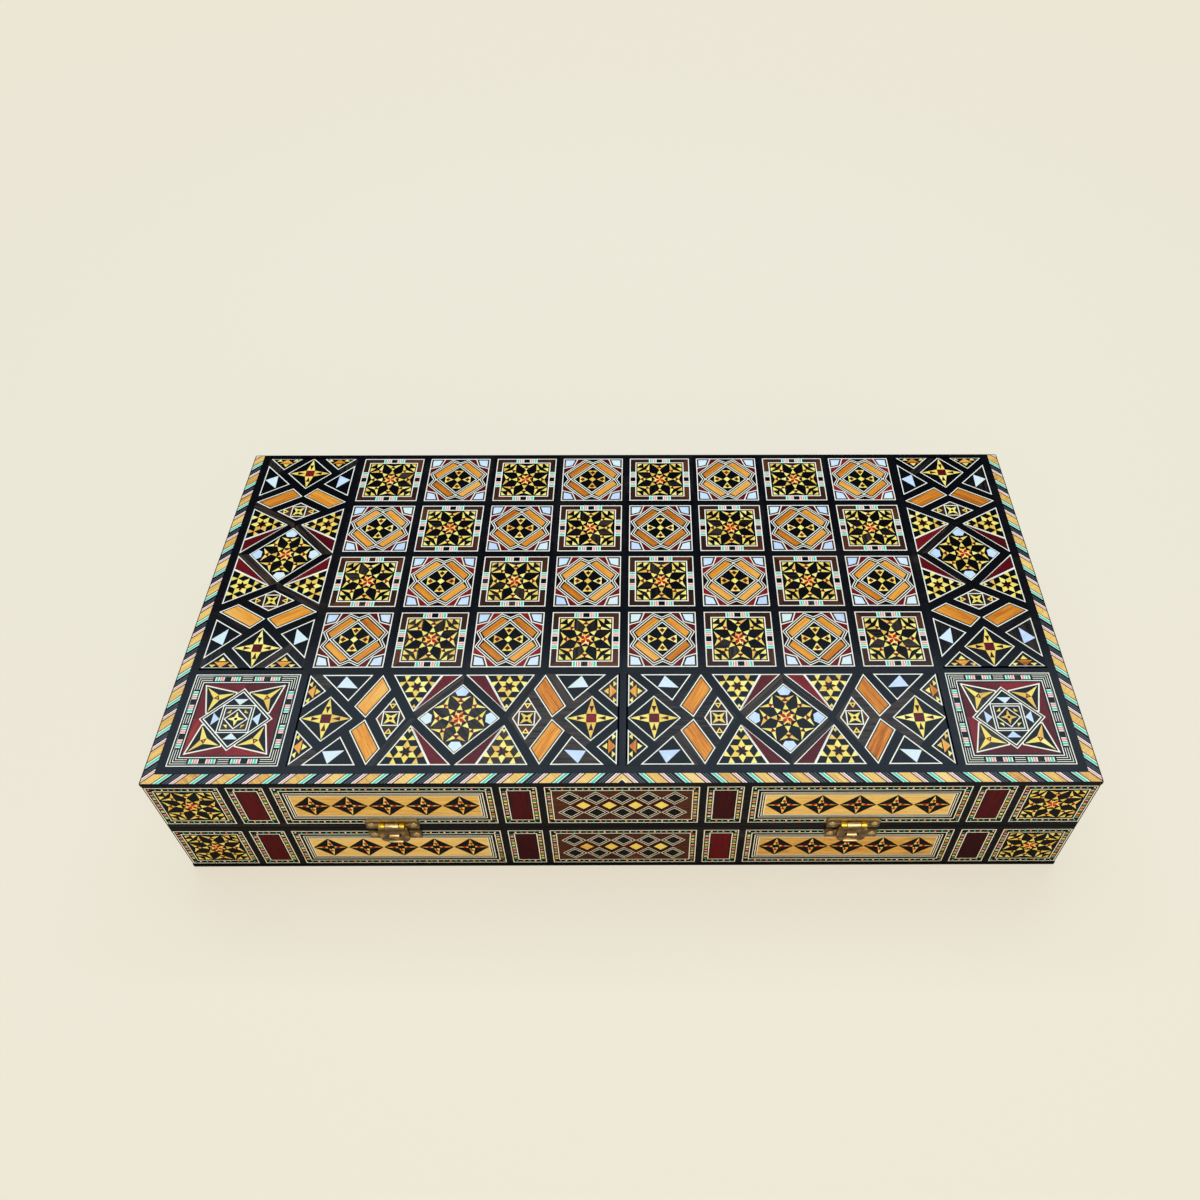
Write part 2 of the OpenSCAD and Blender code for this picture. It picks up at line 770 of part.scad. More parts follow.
module left_latch_plate() { color(BRASS) at_latch(-1) latch_plate(); }
module left_latch_tongue() { color(BRASS) at_latch(-1) latch_tongue(); }
module left_latch_pin() { color(BRASS) at_latch(-1) latch_pin(); }
module left_catch_plate() { color(BRASS) at_latch(-1) catch_plate(); }
module right_latch_plate() { color(BRASS) at_latch(1) latch_plate(); }
module right_latch_tongue() { color(BRASS) at_latch(1) latch_tongue(); }
module right_latch_pin() { color(BRASS) at_latch(1) latch_pin(); }
module right_catch_plate() { color(BRASS) at_latch(1) catch_plate(); }
module latch_screws() {
    color(BRASS) for (side = [-1, 1]) at_latch(side) plate_screw_places(plate_mid_z)
        round_screw();
}
module catch_screws() {
    color(BRASS) for (side = [-1, 1]) at_latch(side) plate_screw_places(catch_mid_z)
        round_screw();
}

base_board();
base_front_rail();
base_back_rail();
base_left_rail();
base_right_rail();
base_lattice();
base_star_squares();
base_diamond_squares();
base_border_panels();
base_end_panels();
base_corner_panels();
base_rope_banding();
base_wall_star_panels();
base_wall_red_panels();
base_wall_diamond_panels();
base_wall_centre_panel();
base_playing_field();
base_light_points();
base_dark_points();
base_rosette();
lid_board();
lid_front_rail();
lid_back_rail();
lid_left_rail();
lid_right_rail();
lid_lattice();
lid_star_squares();
lid_diamond_squares();
lid_border_panels();
lid_end_panels();
lid_corner_panels();
lid_rope_banding();
lid_wall_star_panels();
lid_wall_red_panels();
lid_wall_diamond_panels();
lid_wall_centre_panel();
lid_playing_field();
lid_light_points();
lid_dark_points();
lid_rosette();
left_hinge_base_leaf();
left_hinge_lid_leaf();
left_hinge_pin();
right_hinge_base_leaf();
right_hinge_lid_leaf();
right_hinge_pin();
base_hinge_screws();
lid_hinge_screws();
left_latch_plate();
left_latch_tongue();
left_latch_pin();
left_catch_plate();
right_latch_plate();
right_latch_tongue();
right_latch_pin();
right_catch_plate();
latch_screws();
catch_screws();
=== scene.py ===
# %% [markdown]
# # Folding chess box in marquetry
# The box is two shallow trays on a long hinge. Every visible face is inlaid with small
# pieces of wood and shell under a glossy lacquer. The CAD part gives the sizes: each
# mosaic tile there is one plain solid, and this script lays the real inlay in its place.

# %%
import json
import math
import random

import bmesh
import bpy
import numpy as np
from mathutils import Matrix, Vector
from mathutils.geometry import delaunay_2d_cdt


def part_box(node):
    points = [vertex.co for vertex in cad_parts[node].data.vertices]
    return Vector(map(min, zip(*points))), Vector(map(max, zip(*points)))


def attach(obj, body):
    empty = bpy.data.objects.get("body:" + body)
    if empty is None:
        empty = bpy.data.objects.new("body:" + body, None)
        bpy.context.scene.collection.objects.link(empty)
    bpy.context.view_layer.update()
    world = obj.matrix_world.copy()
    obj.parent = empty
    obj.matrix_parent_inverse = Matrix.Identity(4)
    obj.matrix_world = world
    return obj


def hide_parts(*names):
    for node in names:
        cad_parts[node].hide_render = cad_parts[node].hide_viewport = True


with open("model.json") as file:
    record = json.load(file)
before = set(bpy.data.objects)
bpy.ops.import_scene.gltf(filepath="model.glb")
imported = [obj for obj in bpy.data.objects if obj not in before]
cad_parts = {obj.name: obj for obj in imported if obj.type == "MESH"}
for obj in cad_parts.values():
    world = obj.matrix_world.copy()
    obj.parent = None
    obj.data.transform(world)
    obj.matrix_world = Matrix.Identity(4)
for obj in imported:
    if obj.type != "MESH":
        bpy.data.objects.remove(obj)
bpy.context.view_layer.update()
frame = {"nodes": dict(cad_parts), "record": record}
random.seed(11)
MM = 0.001

# %% [markdown]
# ## Where the tiles lie
# A CAD node such as the star squares holds many separate solids. This finds each of
# them and gives its box in millimetres, so the inlay follows whatever size the part has.

# %%
def linked(name, data):
    """A new object in the scene."""
    made = bpy.data.objects.new(name, data)
    bpy.context.scene.collection.objects.link(made)
    return made


def solids(node):
    """Boxes (low, high) in millimetres of the separate solids of one CAD node."""
    mesh = frame["nodes"][node].data
    co = np.array([v.co for v in mesh.vertices]) / MM
    _, same = np.unique(np.round(co, 3), axis=0, return_inverse=True)
    same = same.reshape(-1)
    root = list(range(same.max() + 1))

    def find(i):
        while root[i] != i:
            root[i] = root[root[i]]
            i = root[i]
        return i
    for poly in mesh.polygons:
        ids = [find(same[v]) for v in poly.vertices]
        for i in ids[1:]:
            root[find(i)] = find(ids[0])
    group = np.array([find(s) for s in same])
    boxes = [(co[group == g].min(0), co[group == g].max(0)) for g in np.unique(group)]
    return sorted(boxes, key=lambda b: (round(b[0][0], 1), round(b[0][1], 1)))


for name in ("lid_star_squares", "lid_border_panels", "lid_wall_red_panels"):
    print(name, len(solids(name)), "solids")

# %% [markdown]
# ## Cutting veneers
# A motif is drawn like a picture, with later shapes laid over earlier ones. The outlines
# of all shapes are then cut through each other, and each cell goes to the topmost shape.
# So the finished pieces fit edge to edge, as in real marquetry, with nothing underneath.
# Each piece becomes a thin closed slab with its own grain direction.

# %%
def turned(points, degrees):
    c, s = math.cos(math.radians(degrees)), math.sin(math.radians(degrees))
    return [(x * c - y * s, x * s + y * c) for x, y in points]


def moved(points, dx, dy, scale=1.0):
    return [(x * scale + dx, y * scale + dy) for x, y in points]


def pairs(points):
    return zip(points, points[1:] + points[:1])


def area(points):
    return sum(a[0] * b[1] - b[0] * a[1] for a, b in pairs(points)) / 2


def oriented(points):
    """The same outline, drawn anticlockwise."""
    return list(points) if area(points) > 0 else list(points)[::-1]


def inset(points, d):
    """The outline with each side moved inwards by d."""
    points = oriented(points)
    n, out = len(points), []
    for i in range(n):
        p0, p1, p2 = (Vector(points[j % n]) for j in (i - 1, i, i + 1))
        u, v = (p1 - p0).normalized(), (p2 - p1).normalized()
        nu, nv = Vector((-u.y, u.x)), Vector((-v.y, v.x))
        k = 1 + nu.dot(nv)
        out.append(tuple(p1 + (nu + nv) * (d / max(k, 0.15))))
    return out


def box(x0, x1, y0, y1):
    return [(x0, y0), (x1, y0), (x1, y1), (x0, y1)]


def square(r):
    return box(-r, r, -r, r)


def diamond(r, x=0, y=0):
    return [(x + r, y), (x, y + r), (x - r, y), (x, y - r)]


def star(tips, r_tip, r_in, start, centre=(0, 0)):
    """Outline of a star; its first tip is at the start angle in degrees."""
    points = []
    for k in range(2 * tips):
        a = math.radians(start + k * 180 / tips)
        r = r_in if k % 2 else r_tip
        points.append((centre[0] + r * math.cos(a), centre[1] + r * math.sin(a)))
    return points


THICK = 0.5     # of a veneer, in millimetres
WELD = 1e-3     # corners nearer than this become one
CRUMB = 0.01    # square millimetres; smaller scraps are dropped


class Motif:
    """Shapes drawn one over another, in millimetres round the middle of a tile."""

    def __init__(self):
        self.layers = []

    def add(self, points, finish, grain=None):
        self.layers.append((oriented(points), finish, grain))

    def four(self, points, finish):
        for k in range(4):
            self.add(turned(points, 90 * k), finish)

    def nested(self, outline, *steps):
        """One outline in several sizes: each step is (size, finish)."""
        for size, finish in steps:
            self.add(outline(size), finish)

    def framed(self, points, steps):
        """Nested outlines: steps is a list of (distance from the outline, finish)."""
        for d, finish in steps:
            self.add(inset(points, d) if d else points, finish)

    def place(self, other, dx=0, dy=0, scale=1.0):
        for points, finish, grain in other.layers:
            self.add(moved(points, dx, dy, scale), finish, grain)

    def pieces(self, mask=None):
        """{finish: [(triangles, grain angle)]}, each a piece of veneer."""
        verts, faces = [], []
        for points, _, _ in self.layers + ([(mask, None, None)] if mask else []):
            faces.append(list(range(len(verts), len(verts) + len(points))))
            verts += [Vector(p) for p in points]
        cut, _, tris, _, _, owner = delaunay_2d_cdt(verts, [], faces, 1, WELD, True)
        top, last = {}, len(self.layers)
        for t, (tri, own) in enumerate(zip(tris, owner)):
            if own and (mask is None or last in own):
                own = [o for o in own if o < last]
                if own and self.layers[max(own)][1]:
                    top.setdefault(max(own), []).append(t)
        found = {}
        for layer, members in top.items():
            edge, near = {}, {t: [] for t in members}
            for t in members:
                for a, b in pairs(tris[t]):
                    key = (min(a, b), max(a, b))
                    if key in edge:
                        near[t].append(edge[key])
                        near[edge[key]].append(t)
                    edge[key] = t
            left = set(members)
            while left:
                todo, piece = [left.pop()], []
                while todo:
                    t = todo.pop()
                    piece.append(tuple((cut[i].x, cut[i].y) for i in tris[t]))
                    for o in near[t]:
                        if o in left:
                            left.discard(o)
                            todo.append(o)
                if sum(abs(area(list(p))) for p in piece) < CRUMB:
                    continue
                points, finish, grain = self.layers[layer]
                if grain is None:
                    edges = [Vector(b) - Vector(a) for a, b in pairs(points)]
                    long_side = max(edges, key=lambda e: e.length)
                    grain = math.degrees(math.atan2(long_side.y, long_side.x))
                found.setdefault(finish, []).append((piece, grain))
        return found


def slab_mesh(name, pieces):
    """One mesh of closed slabs, with a grain coordinate that runs along each piece."""
    verts, faces, grain = [], [], []
    for tris, angle in pieces:
        a = math.radians(angle)
        shift = random.random() * 40
        index = {}
        for p in (q for t in tris for q in t):
            index.setdefault(p, len(index))
        n, start = len(index), len(verts)
        for z in (0.0, -THICK):
            for x, y in index:
                verts.append((x * MM, y * MM, z * MM))
                grain.append((x * math.cos(a) + y * math.sin(a) + shift * 7,
                              y * math.cos(a) - x * math.sin(a) + shift * 3, z + shift))
        rim = {}
        for t in tris:
            ids = [index[p] for p in t]
            if area(list(t)) < 0:
                ids = ids[::-1]
            faces.append([start + i for i in ids])
            faces.append([start + n + i for i in ids[::-1]])
            for i, j in pairs(ids):
                if (j, i) in rim:
                    del rim[(j, i)]
                else:
                    rim[(i, j)] = True
        for i, j in rim:
            faces.append([start + j, start + i, start + n + i, start + n + j])
    mesh = bpy.data.meshes.new(name)
    mesh.from_pydata(verts, [], faces)
    stored = mesh.attributes.new("grain", "FLOAT_VECTOR", "POINT")
    stored.data.foreach_set("vector", np.array(grain, np.float32).ravel())
    return mesh

# %% [markdown]
# ## Lacquered wood, shell and brass
# All veneers share one recipe: a grain that runs along the piece, a tone that differs
# from piece to piece, fine pores in the bump, and a clear glossy coat over the whole.

# %%
def srgb(r, g, b):
    """A colour as measured on a screen, made linear for the shader."""
    return tuple(((c / 255 + 0.055) / 1.055) ** 2.4 if c > 10 else c / 3295
                 for c in (r, g, b))


def fill(target, inputs):
    """Set the inputs of a node: sockets are linked, colours are made opaque."""
    for key, value in inputs.items():
        if isinstance(value, bpy.types.NodeSocket):
            target.id_data.links.new(value, target.inputs[key])
        elif target.inputs[key].type == "RGBA":
            target.inputs[key].default_value = (*value, 1)
        else:
            target.inputs[key].default_value = value


def node(tree, kind, inputs=None, **settings):
    made = tree.nodes.new(kind)
    for key, value in settings.items():
        setattr(made, key, value)
    fill(made, inputs or {})
    return made


class Recipe:
    """A new material and the nodes that materials here are made of."""

    def __init__(self, name):
        self.material = bpy.data.materials.new(name)
        self.material.use_nodes = True
        self.tree = self.material.node_tree
        self.shader = self.tree.nodes["Principled BSDF"]

    def new(self, kind, inputs=None, out=0, **settings):
        """One output of a new shader node."""
        return node(self.tree, "ShaderNode" + kind, inputs, **settings).outputs[out]

    def math(self, operation, *values):
        return self.new("Math", dict(enumerate(values)), operation=operation)

    def vector(self, operation, *values):
        return self.new("VectorMath", dict(enumerate(values)), operation=operation)

    def add_share(self, value, share, rest):
        return self.math("MULTIPLY_ADD", value, share, rest)

    def span(self, value, low, high, to_low=0.0, to_high=1.0):
        return self.new("MapRange", {0: value, 1: low, 2: high, 3: to_low, 4: to_high})

    def noise(self, where, scale, detail, rough=0.5, distortion=0.0):
        return self.new("TexNoise", {"Vector": where, "Scale": scale, "Detail": detail,
                        "Roughness": rough, "Distortion": distortion})

    def scaled(self, where, scale):
        return self.new("Mapping", {0: where, 3: scale})

    def place(self):
        return self.new("TexCoord", out="Object")

    def stored(self, name, out="Vector"):
        return self.new("Attribute", out=out, attribute_name=name)

    def ramp(self, factor, stops):
        """Colour by a factor; each stop is (place, red, green, blue)."""
        made = node(self.tree, "ShaderNodeValToRGB", {0: factor})
        while len(made.color_ramp.elements) < len(stops):
            made.color_ramp.elements.new(0.5)
        for element, (place, *colour) in zip(made.color_ramp.elements, stops):
            element.position = place
            element.color = (*srgb(*colour), 1)
        return made.outputs[0]

    def mixed(self, factor, a, b, kind="MIX"):
        return self.new("Mix", {0: factor, 6: a, 7: b}, 2, data_type="RGBA",
                        blend_type=kind)

    def surface(self, colour, rough, height=None, strength=0.1, distance=0.00008):
        fill(self.shader, {"Base Color": colour, "Roughness": rough})
        if height:
            fill(self.shader, {"Normal": self.new("Bump", {
                "Strength": strength, "Distance": distance, "Height": height})})

    def lacquered(self, coat=0.13):
        """The finished material under its clear coat."""
        fill(self.shader, {"Coat Weight": coat, "Coat Roughness": 0.15, "Coat IOR": 1.5,
                           "Specular IOR Level": 0.0})
        return self.material


def veneer(name, spread, *stops, figure=1.0, pores=1.0):
    """A veneer whose colour runs over the given stops along its grain."""
    r = Recipe(name)
    grain = r.stored("grain")
    wave = r.noise(r.scaled(grain, (0.035, 0.55, 0.5)), 1.3, 5, 0.62, 0.5)
    pore = r.noise(r.scaled(grain, (0.2, 5.0, 3.0)), 1.1, 3, 0.7)
    figured = r.add_share(pore, 0.25 * figure, r.math("MULTIPLY", wave, 0.75 * figure))
    toned = r.add_share(r.stored("tone", "Fac"), spread, figured)
    low = 0.5 * figure - 0.22
    colour = r.ramp(r.span(toned, low, low + 0.44 + spread), stops)
    colour = r.mixed(0.8 * pores, colour, r.span(pore, 0.3, 0.5, 0.72, 1.0), "MULTIPLY")
    r.surface(colour, r.span(pore, 0, 1, 0.3, 0.5), pore, 0.12)
    return r.lacquered()


def pearl():
    """Mother of pearl: soft pale clouds between blue, green and warm white."""
    r = Recipe("mother of pearl")
    grain = r.stored("grain")
    cloud = r.noise(grain, 0.22, 4, distortion=1.5)
    fleck = r.new("TexVoronoi", {"Vector": grain, "Scale": 0.9}, "Color")
    toned = r.span(r.add_share(r.stored("tone", "Fac"), 0.7, cloud), 0.25, 1.4)
    colour = r.ramp(toned, [(0, 176, 194, 222), (0.45, 200, 214, 234), (0.72, 214, 226, 232),
                            (1, 216, 224, 200)])
    r.surface(r.mixed(0.12, colour, fleck, "SOFT_LIGHT"), r.span(cloud, 0, 1, 0.18, 0.36))
    fill(r.shader, {"Sheen Weight": 0.15})
    return r.lacquered()


def dyed(name, colour, across=None):
    """Dyed stock in one tone: only its gloss and pores vary."""
    r = Recipe(name)
    grain = r.scaled(r.place(), across) if across else r.stored("grain")
    pore = r.noise(grain, 2.0, 3)
    r.surface(srgb(*colour), r.span(pore, 0, 1, 0.25, 0.5), pore)
    return r.lacquered()


FINISHES = {
    "ebony": veneer("black veneer", 0.8, (0, 6, 6, 9), (0.61, 11, 11, 15), (0.69, 22, 19, 20),
                    (0.77, 50, 41, 36), (1, 84, 66, 54)),
    "brown": veneer("brown veneer", 0.7, (0, 38, 19, 14), (0.6, 66, 34, 24),
                    (0.9, 104, 54, 30), (1, 140, 80, 36)),
    "cream": veneer("cream stringing", 0.3, (0, 224, 216, 192), (0.5, 242, 236, 216),
                    (1, 250, 248, 234), pores=0.4),
    "yellow": veneer("lemon wood", 1.0, (0, 208, 146, 64), (0.14, 226, 172, 78),
                     (0.34, 240, 206, 92), (0.7, 248, 224, 114), (1, 252, 238, 158), pores=0.5),
    "orange": veneer("orange wood", 0.5, (0, 134, 62, 16), (0.3, 198, 112, 32),
                     (0.62, 230, 148, 50), (1, 244, 184, 96), figure=1.7),
    "maple": veneer("pale wood", 0.4, (0, 176, 112, 48), (0.3, 220, 166, 84),
                    (0.6, 238, 192, 104), (1, 246, 214, 146), figure=1.6),
    "red": veneer("dark red wood", 0.7, (0, 34, 3, 9), (0.45, 54, 5, 12), (0.8, 92, 10, 17),
                  (1, 122, 20, 20)),
    "crimson": veneer("bright red wood", 0.8, (0, 60, 8, 14), (0.4, 95, 15, 21),
                      (0.8, 134, 28, 30), (1, 186, 70, 44), figure=1.3),
    "pearl": pearl(),
    "turquoise": dyed("turquoise stock", (70, 198, 164)),
    "pink": dyed("pink stock", (232, 150, 144)),
    "scarlet": dyed("scarlet stock", (178, 26, 24)),
    "grey": dyed("grey stock", (92, 98, 104)),
    "jet": dyed("jet black stock", (10, 10, 13)),
}
print("finishes:", sorted(FINISHES))

# %% [markdown]
# ## The star square
# Brown mitred frame between cream lines, dashes of turquoise and pink at the middle of
# each side, and a black field with an eight-pointed star of lemon wood.

# %%
def dashes(motif, depth0, depth1, at=0.0):
    """The coloured dashes across a frame band, mirrored about the point at."""
    half = [(4.6, 7.0, "cream"), (5.15, 6.45, "turquoise"), (1.9, 4.2, "cream"),
            (2.4, 3.7, "pink")]
    for k in range(4):
        for a, b, finish in [(-7.5, 7.5, "ebony")] + half + [(-b, -a, f) for a, b, f in half]:
            motif.add(turned(box(at + a, at + b, depth0, depth1), 90 * k), finish, 90 * k + 90)


def trefoil(motif, tips, notches, grow=1.4):
    """Three lemon arms that meet round a small red triangle, on all four sides."""
    mid = tuple(sum(p[i] for p in notches) / 3 for i in (0, 1))
    for k in range(4):
        for i in range(3):
            arm = [mid, notches[i - 1], tips[i], notches[i]]
            motif.add(turned(arm, 90 * k), "yellow")
        heart = [tuple(mid[i] + (p[i] - mid[i]) * grow for i in (0, 1)) for p in notches]
        motif.add(turned(heart, 90 * k), "crimson")


def star_field(corners=True):
    """The star alone, on a field 29.4 mm wide."""
    m = Motif()
    trefoil(m, [(5.35, 14.5), (-5.35, 14.5), (0, 8.9)],
            [(0, 12.55), (-1.5, 10.75), (1.5, 10.75)])
    trefoil(m, [(-6.7, 14.4), (-14.4, 6.7), (-6.4, 6.4)],
            [(-9, 9), (-8.4, 6.9), (-6.9, 8.4)])
    if corners:
        for tri in ([(-14.6, 14.7), (-11.5, 14.7), (-14.6, 11.9)],
                    [(-10.8, 14.7), (-7.4, 14.7), (-10.6, 11.4)],
                    [(-14.7, 10.8), (-11.4, 10.6), (-14.7, 7.4)]):
            m.four(tri, "yellow")
    for k in range(8):
        m.add(turned([(8.9, 0), (5.35, 1.6), (5.35, -1.6)], 45 * k), "yellow")
    for k in range(8):
        m.add(turned([(0, 0), (3.0, 0), (4.6, 1.9), (2.13, 2.13)], 45 * k + 0.01), "yellow")
    for k in range(4):
        petal = [(0, 0)] + [(r * math.cos(math.radians(a)), r * math.sin(math.radians(a)))
                            for r, a in ((2.7, 26), (4.3, 62), (1.9, 90))]
        m.add(turned(petal, 90 * k), "scarlet")
        m.add(turned([(3.0, 1.0), (4.3, 0.2), (4.0, 1.7)], 90 * k), "scarlet")
    return m


SQUARE = square(19.8)


def star_square():
    m = Motif()
    m.add(SQUARE, "cream")
    m.four([(-19.2, 19.2), (-16.0, 16.0), (16.0, 16.0), (19.2, 19.2)], "brown")
    dashes(m, 16.0, 19.2)
    m.add(square(16.0), "cream")
    m.add(square(15.35), "ebony")
    for k in range(8):
        kite = [(5.4, 2.2), (9.4, 0.2), (14.3, 5.8), (6.4, 6.2)]
        kite = kite if k % 2 else [(x, -y) for x, y in kite]
        m.add(turned(kite, 90 * (k // 2)), "ebony")
    m.place(star_field())
    return m


def diamond_square():
    """Orange bars in an interlaced strap, pearl corners and a black diamond."""
    m = Motif()
    m.add(SQUARE, "cream")
    m.add(square(19.2), "crimson")
    strap = [(5.3, 19.0), (0, 16.2), (-5.3, 19.0), (-19.0, 5.3), (-16.2, 0), (-19.0, -5.3),
             (-5.3, -19.0), (0, -16.2), (5.3, -19.0), (19.0, -5.3), (16.2, 0), (19.0, 5.3)]
    m.four([(-4.9, 19.2), (0, 16.5), (4.9, 19.2)], "jet")
    m.four([(-19.8, 19.8), (-19.8, 9.9), (-12.4, 12.4), (-9.9, 19.8)], "cream")
    corner = [(-19.2, 19.2), (-19.2, 10.8), (-12.9, 12.9), (-10.8, 19.2)]
    m.four(corner, "brown")
    m.four(inset(corner, 1.0), "pearl")
    m.framed(strap, [(0, "cream"), (0.52, "jet"), (1.28, "cream"), (1.8, "jet")])
    for k in range(4):
        bar = [(-7.8, 14.6), (-8.5, 10.75), (8.5, 10.75), (7.8, 14.6)]
        m.add(turned(bar, 45 + 90 * k), "orange")
    m.nested(lambda r: turned(square(r), 45), (10.3, "cream"), (9.75, "jet"), (8.95, "cream"),
             (8.4, "jet"))
    m.four([(-3.1, 8.3), (0, 2.9), (3.1, 8.3)], "yellow")
    m.four([(-1.7, 6.5), (0, 4.6), (1.7, 6.5), (0, 8.0)], "crimson")
    m.add(diamond(2.2), "yellow")
    return m


MOTIFS = {"star": star_square(), "diamond": diamond_square()}
print({name: len(m.layers) for name, m in MOTIFS.items()}, "shapes drawn")

# %% [markdown]
# ## Corner and border panels
# The corner panel nests squares inside six cream lines. The border panel is symmetric
# about both of its axes, so one quarter of it is drawn and then mirrored.

# %%
PANEL_HALF = 29.3


def corner_panel():
    m = Motif()
    m.framed(square(PANEL_HALF), (
        (0, "cream"), (0.5, "jet"), (1.4, "cream"), (1.75, "jet"), (2.65, "cream"),
        (3.0, "jet"), (3.9, "cream"), (4.25, "jet"), (5.15, "cream"), (5.65, "ebony")))
    for at in (-11, 11):
        m.four(box(at - 8.2, at + 8.2, 24.7, 27.8), "ebony")
        dashes(m, 24.9, 27.6, at)
    for k in range(4):
        for side in (-1, 1):
            m.add(turned([(0, 22.7), (side * 22.7, 22.7), (side * 17.4, 17.4), (0, 9)], 90 * k),
                  "crimson", 90 * k + 20 * side)
    kite = [(-22.3, 22.3), (-17.5, 3.4), (-3, 3), (-3.4, 17.5)]
    for k in range(4):
        m.add(turned(kite, 90 * k), "cream")
        m.add(turned(inset(kite, 0.75), 90 * k), "ebony")
    trefoil(m, [(-20.4, 20.4), (-16.6, 4.7), (-4.7, 16.6)],
            [(-15.6, 13.3), (-12.2, 12.2), (-13.3, 15.6)], 1.0)
    m.four([(-14.2, 13.6), (-13.3, 13.3), (-13.6, 14.2)], "yellow")
    m.nested(diamond, (20, "cream"), (19.15, "jet"), (18, "cream"), (17.15, "ebony"))
    m.four([(-3.9, 12.8), (0, 8.9), (3.9, 12.8)], "pearl")
    m.nested(square, (8.8, "cream"), (8.25, "jet"), (7.4, "cream"), (6.85, "ebony"))
    m.nested(diamond, (6.6, "cream"), (5.8, "ebony"))
    m.four([(-6.0, 3.6), (-3.8, 3.8), (-3.6, 6.0)], "yellow")
    m.add(star(4, 4.5, 1.6, 0), "yellow")
    m.add(star(4, 0.9, 0.9, 0), "ebony")
    return m


def hexagram(r, tilt):
    """Six lemon kites round a red and black heart; the lattice goes on past three tips."""
    m = Motif()
    for k in range(6):
        a = tilt + 60 * k
        m.add(turned([(0.26 * r, 0), (0.47 * r, -0.27 * r), (r, 0), (0.47 * r, 0.27 * r)], a),
              "yellow")
        if k % 2 == 0:
            m.add(turned([(0.05 * r, 0), (0.3 * r, -0.17 * r), (0.52 * r, 0),
                          (0.3 * r, 0.17 * r)], a + 30), "red")
            for side in (1, -1):
                m.add(turned([(r, 0), (1.03 * r, 0.6 * r * side), (1.43 * r, 0.35 * r * side)],
                             a), "yellow")
    return m


BORDER_HALF = 87.2


def border_panel():
    """Drawn for the quarter with x < 0 and y > 0, then mirrored to the other three."""
    m, quarter = Motif(), Motif()
    m.add(box(-BORDER_HALF, BORDER_HALF, -PANEL_HALF, PANEL_HALF), "ebony")

    def shape(points, inner="ebony"):
        quarter.framed(points, [(0, "cream"), (0.6, inner)])
    for strap in ([(-62.0, 10.9), (-57.6, 8.0), (-44.6, 29.3), (-50.6, 29.3)],
                  [(-86.9, 7.0), (-86.9, 0.0), (-57.7, 29.3), (-64.4, 29.3)],
                  [(-45.3, 29.3), (-39.7, 19.2), (-26.4, 0.0), (-23.4, 0.0), (-39.9, 29.3)],
                  [(-21.7, 0.0), (-25.1, 3.6), (0.0, 28.7), (0.0, 22.8)]):
        quarter.add(strap, "ebony")
    shape([(-86.2, 28.8), (-86.2, 7.3), (-75.4, 18)])
    quarter.add([(-85.6, 17.6), (-81.6, 22.0), (-81.6, 13.2)], "orange")
    for tri in ([(-85.6, 22.4), (-83.6, 24.4), (-83.6, 20.6)],
                [(-81.0, 19.6), (-81.0, 15.6), (-78.4, 17.6)],
                [(-85.6, 11.6), (-83.6, 13.6), (-83.6, 9.6)]):
        quarter.add(tri, "yellow")
    shape([(-79.4, 28.8), (-61.9, 11.2), (-51.0, 28.8)])
    quarter.add([(-65.8, 27.9), (-69.8, 20.4), (-58.2, 19.8)], "pearl")
    bar = [(-57.9, 7.8), (-50.6, 0.5), (-39.6, 18.8), (-45.5, 28.8)]
    shape(bar)
    quarter.add(inset(bar, 1.2), "orange", 60)
    shape([(-39.5, 28.8), (-25.2, 4.3), (-12.1, 28.8)])
    quarter.place(hexagram(7.1, 30), -25.6, 20.75)
    quarter.add([(-25.4, 9.2), (-23.9, 6.9), (-26.7, 6.9)], "yellow")
    shape([(-12.1, 28.8), (-25.0, 4.3), (-0.9, 28.8)], "crimson")
    for points, finish, grain in quarter.layers:
        for sx in (1, -1):
            for sy in (1, -1):
                g = None if grain is None else grain * sx * sy
                m.add([(x * sx, y * sy) for x, y in points], finish, g)
    for sx in (1, -1):
        cx = 72.0 * sx
        m.framed(diamond(-14.5, cx), [(0, "cream"), (0.6, "ebony")])
        m.add(star(4, 13.2, 3.9, 0, (cx, 0)), "yellow")
        for k in range(4):
            m.add(moved(turned([(7.8, -1.3), (7.8, 1.3), (3.2, 0)], 90 * k), cx, 0), "red")
        m.add(box(cx - 2.8, cx + 2.8, -2.8, 2.8), "crimson")
        cx = 36.9 * sx
        rhombus = [(cx - 8.0, 0), (cx, -13.7), (cx + 8.0, 0), (cx, 13.7)]
        m.framed(rhombus, [(0, "cream"), (0.65, "brown")])
        for s in (1, -1):
            m.add([(cx - 2.1, 9.6 * s), (cx + 2.1, 9.6 * s), (cx, 6.2 * s)], "yellow")
            m.add([(cx - 0.9, 8.9 * s), (cx + 0.9, 8.9 * s), (cx, 7.4 * s)], "red")
        m.framed(box(cx - 4.6, cx + 4.6, -4.6, 4.6), [(0, "cream"), (0.65, "ebony")])
        m.add(star(4, 4.9, 1.7, 45, (cx, 0)), "yellow")
        m.add(star(4, 0.95, 0.95, 0, (cx, 0)), "red")
    m.framed(diamond(-22.4), [(0, "cream"), (0.6, "ebony")])
    m.four([(21.0, 0), (17.3, 3.8), (14.7, 2.2), (14.7, -2.2), (17.3, -3.8)], "pearl")
    m.place(star_field(corners=False))
    return m


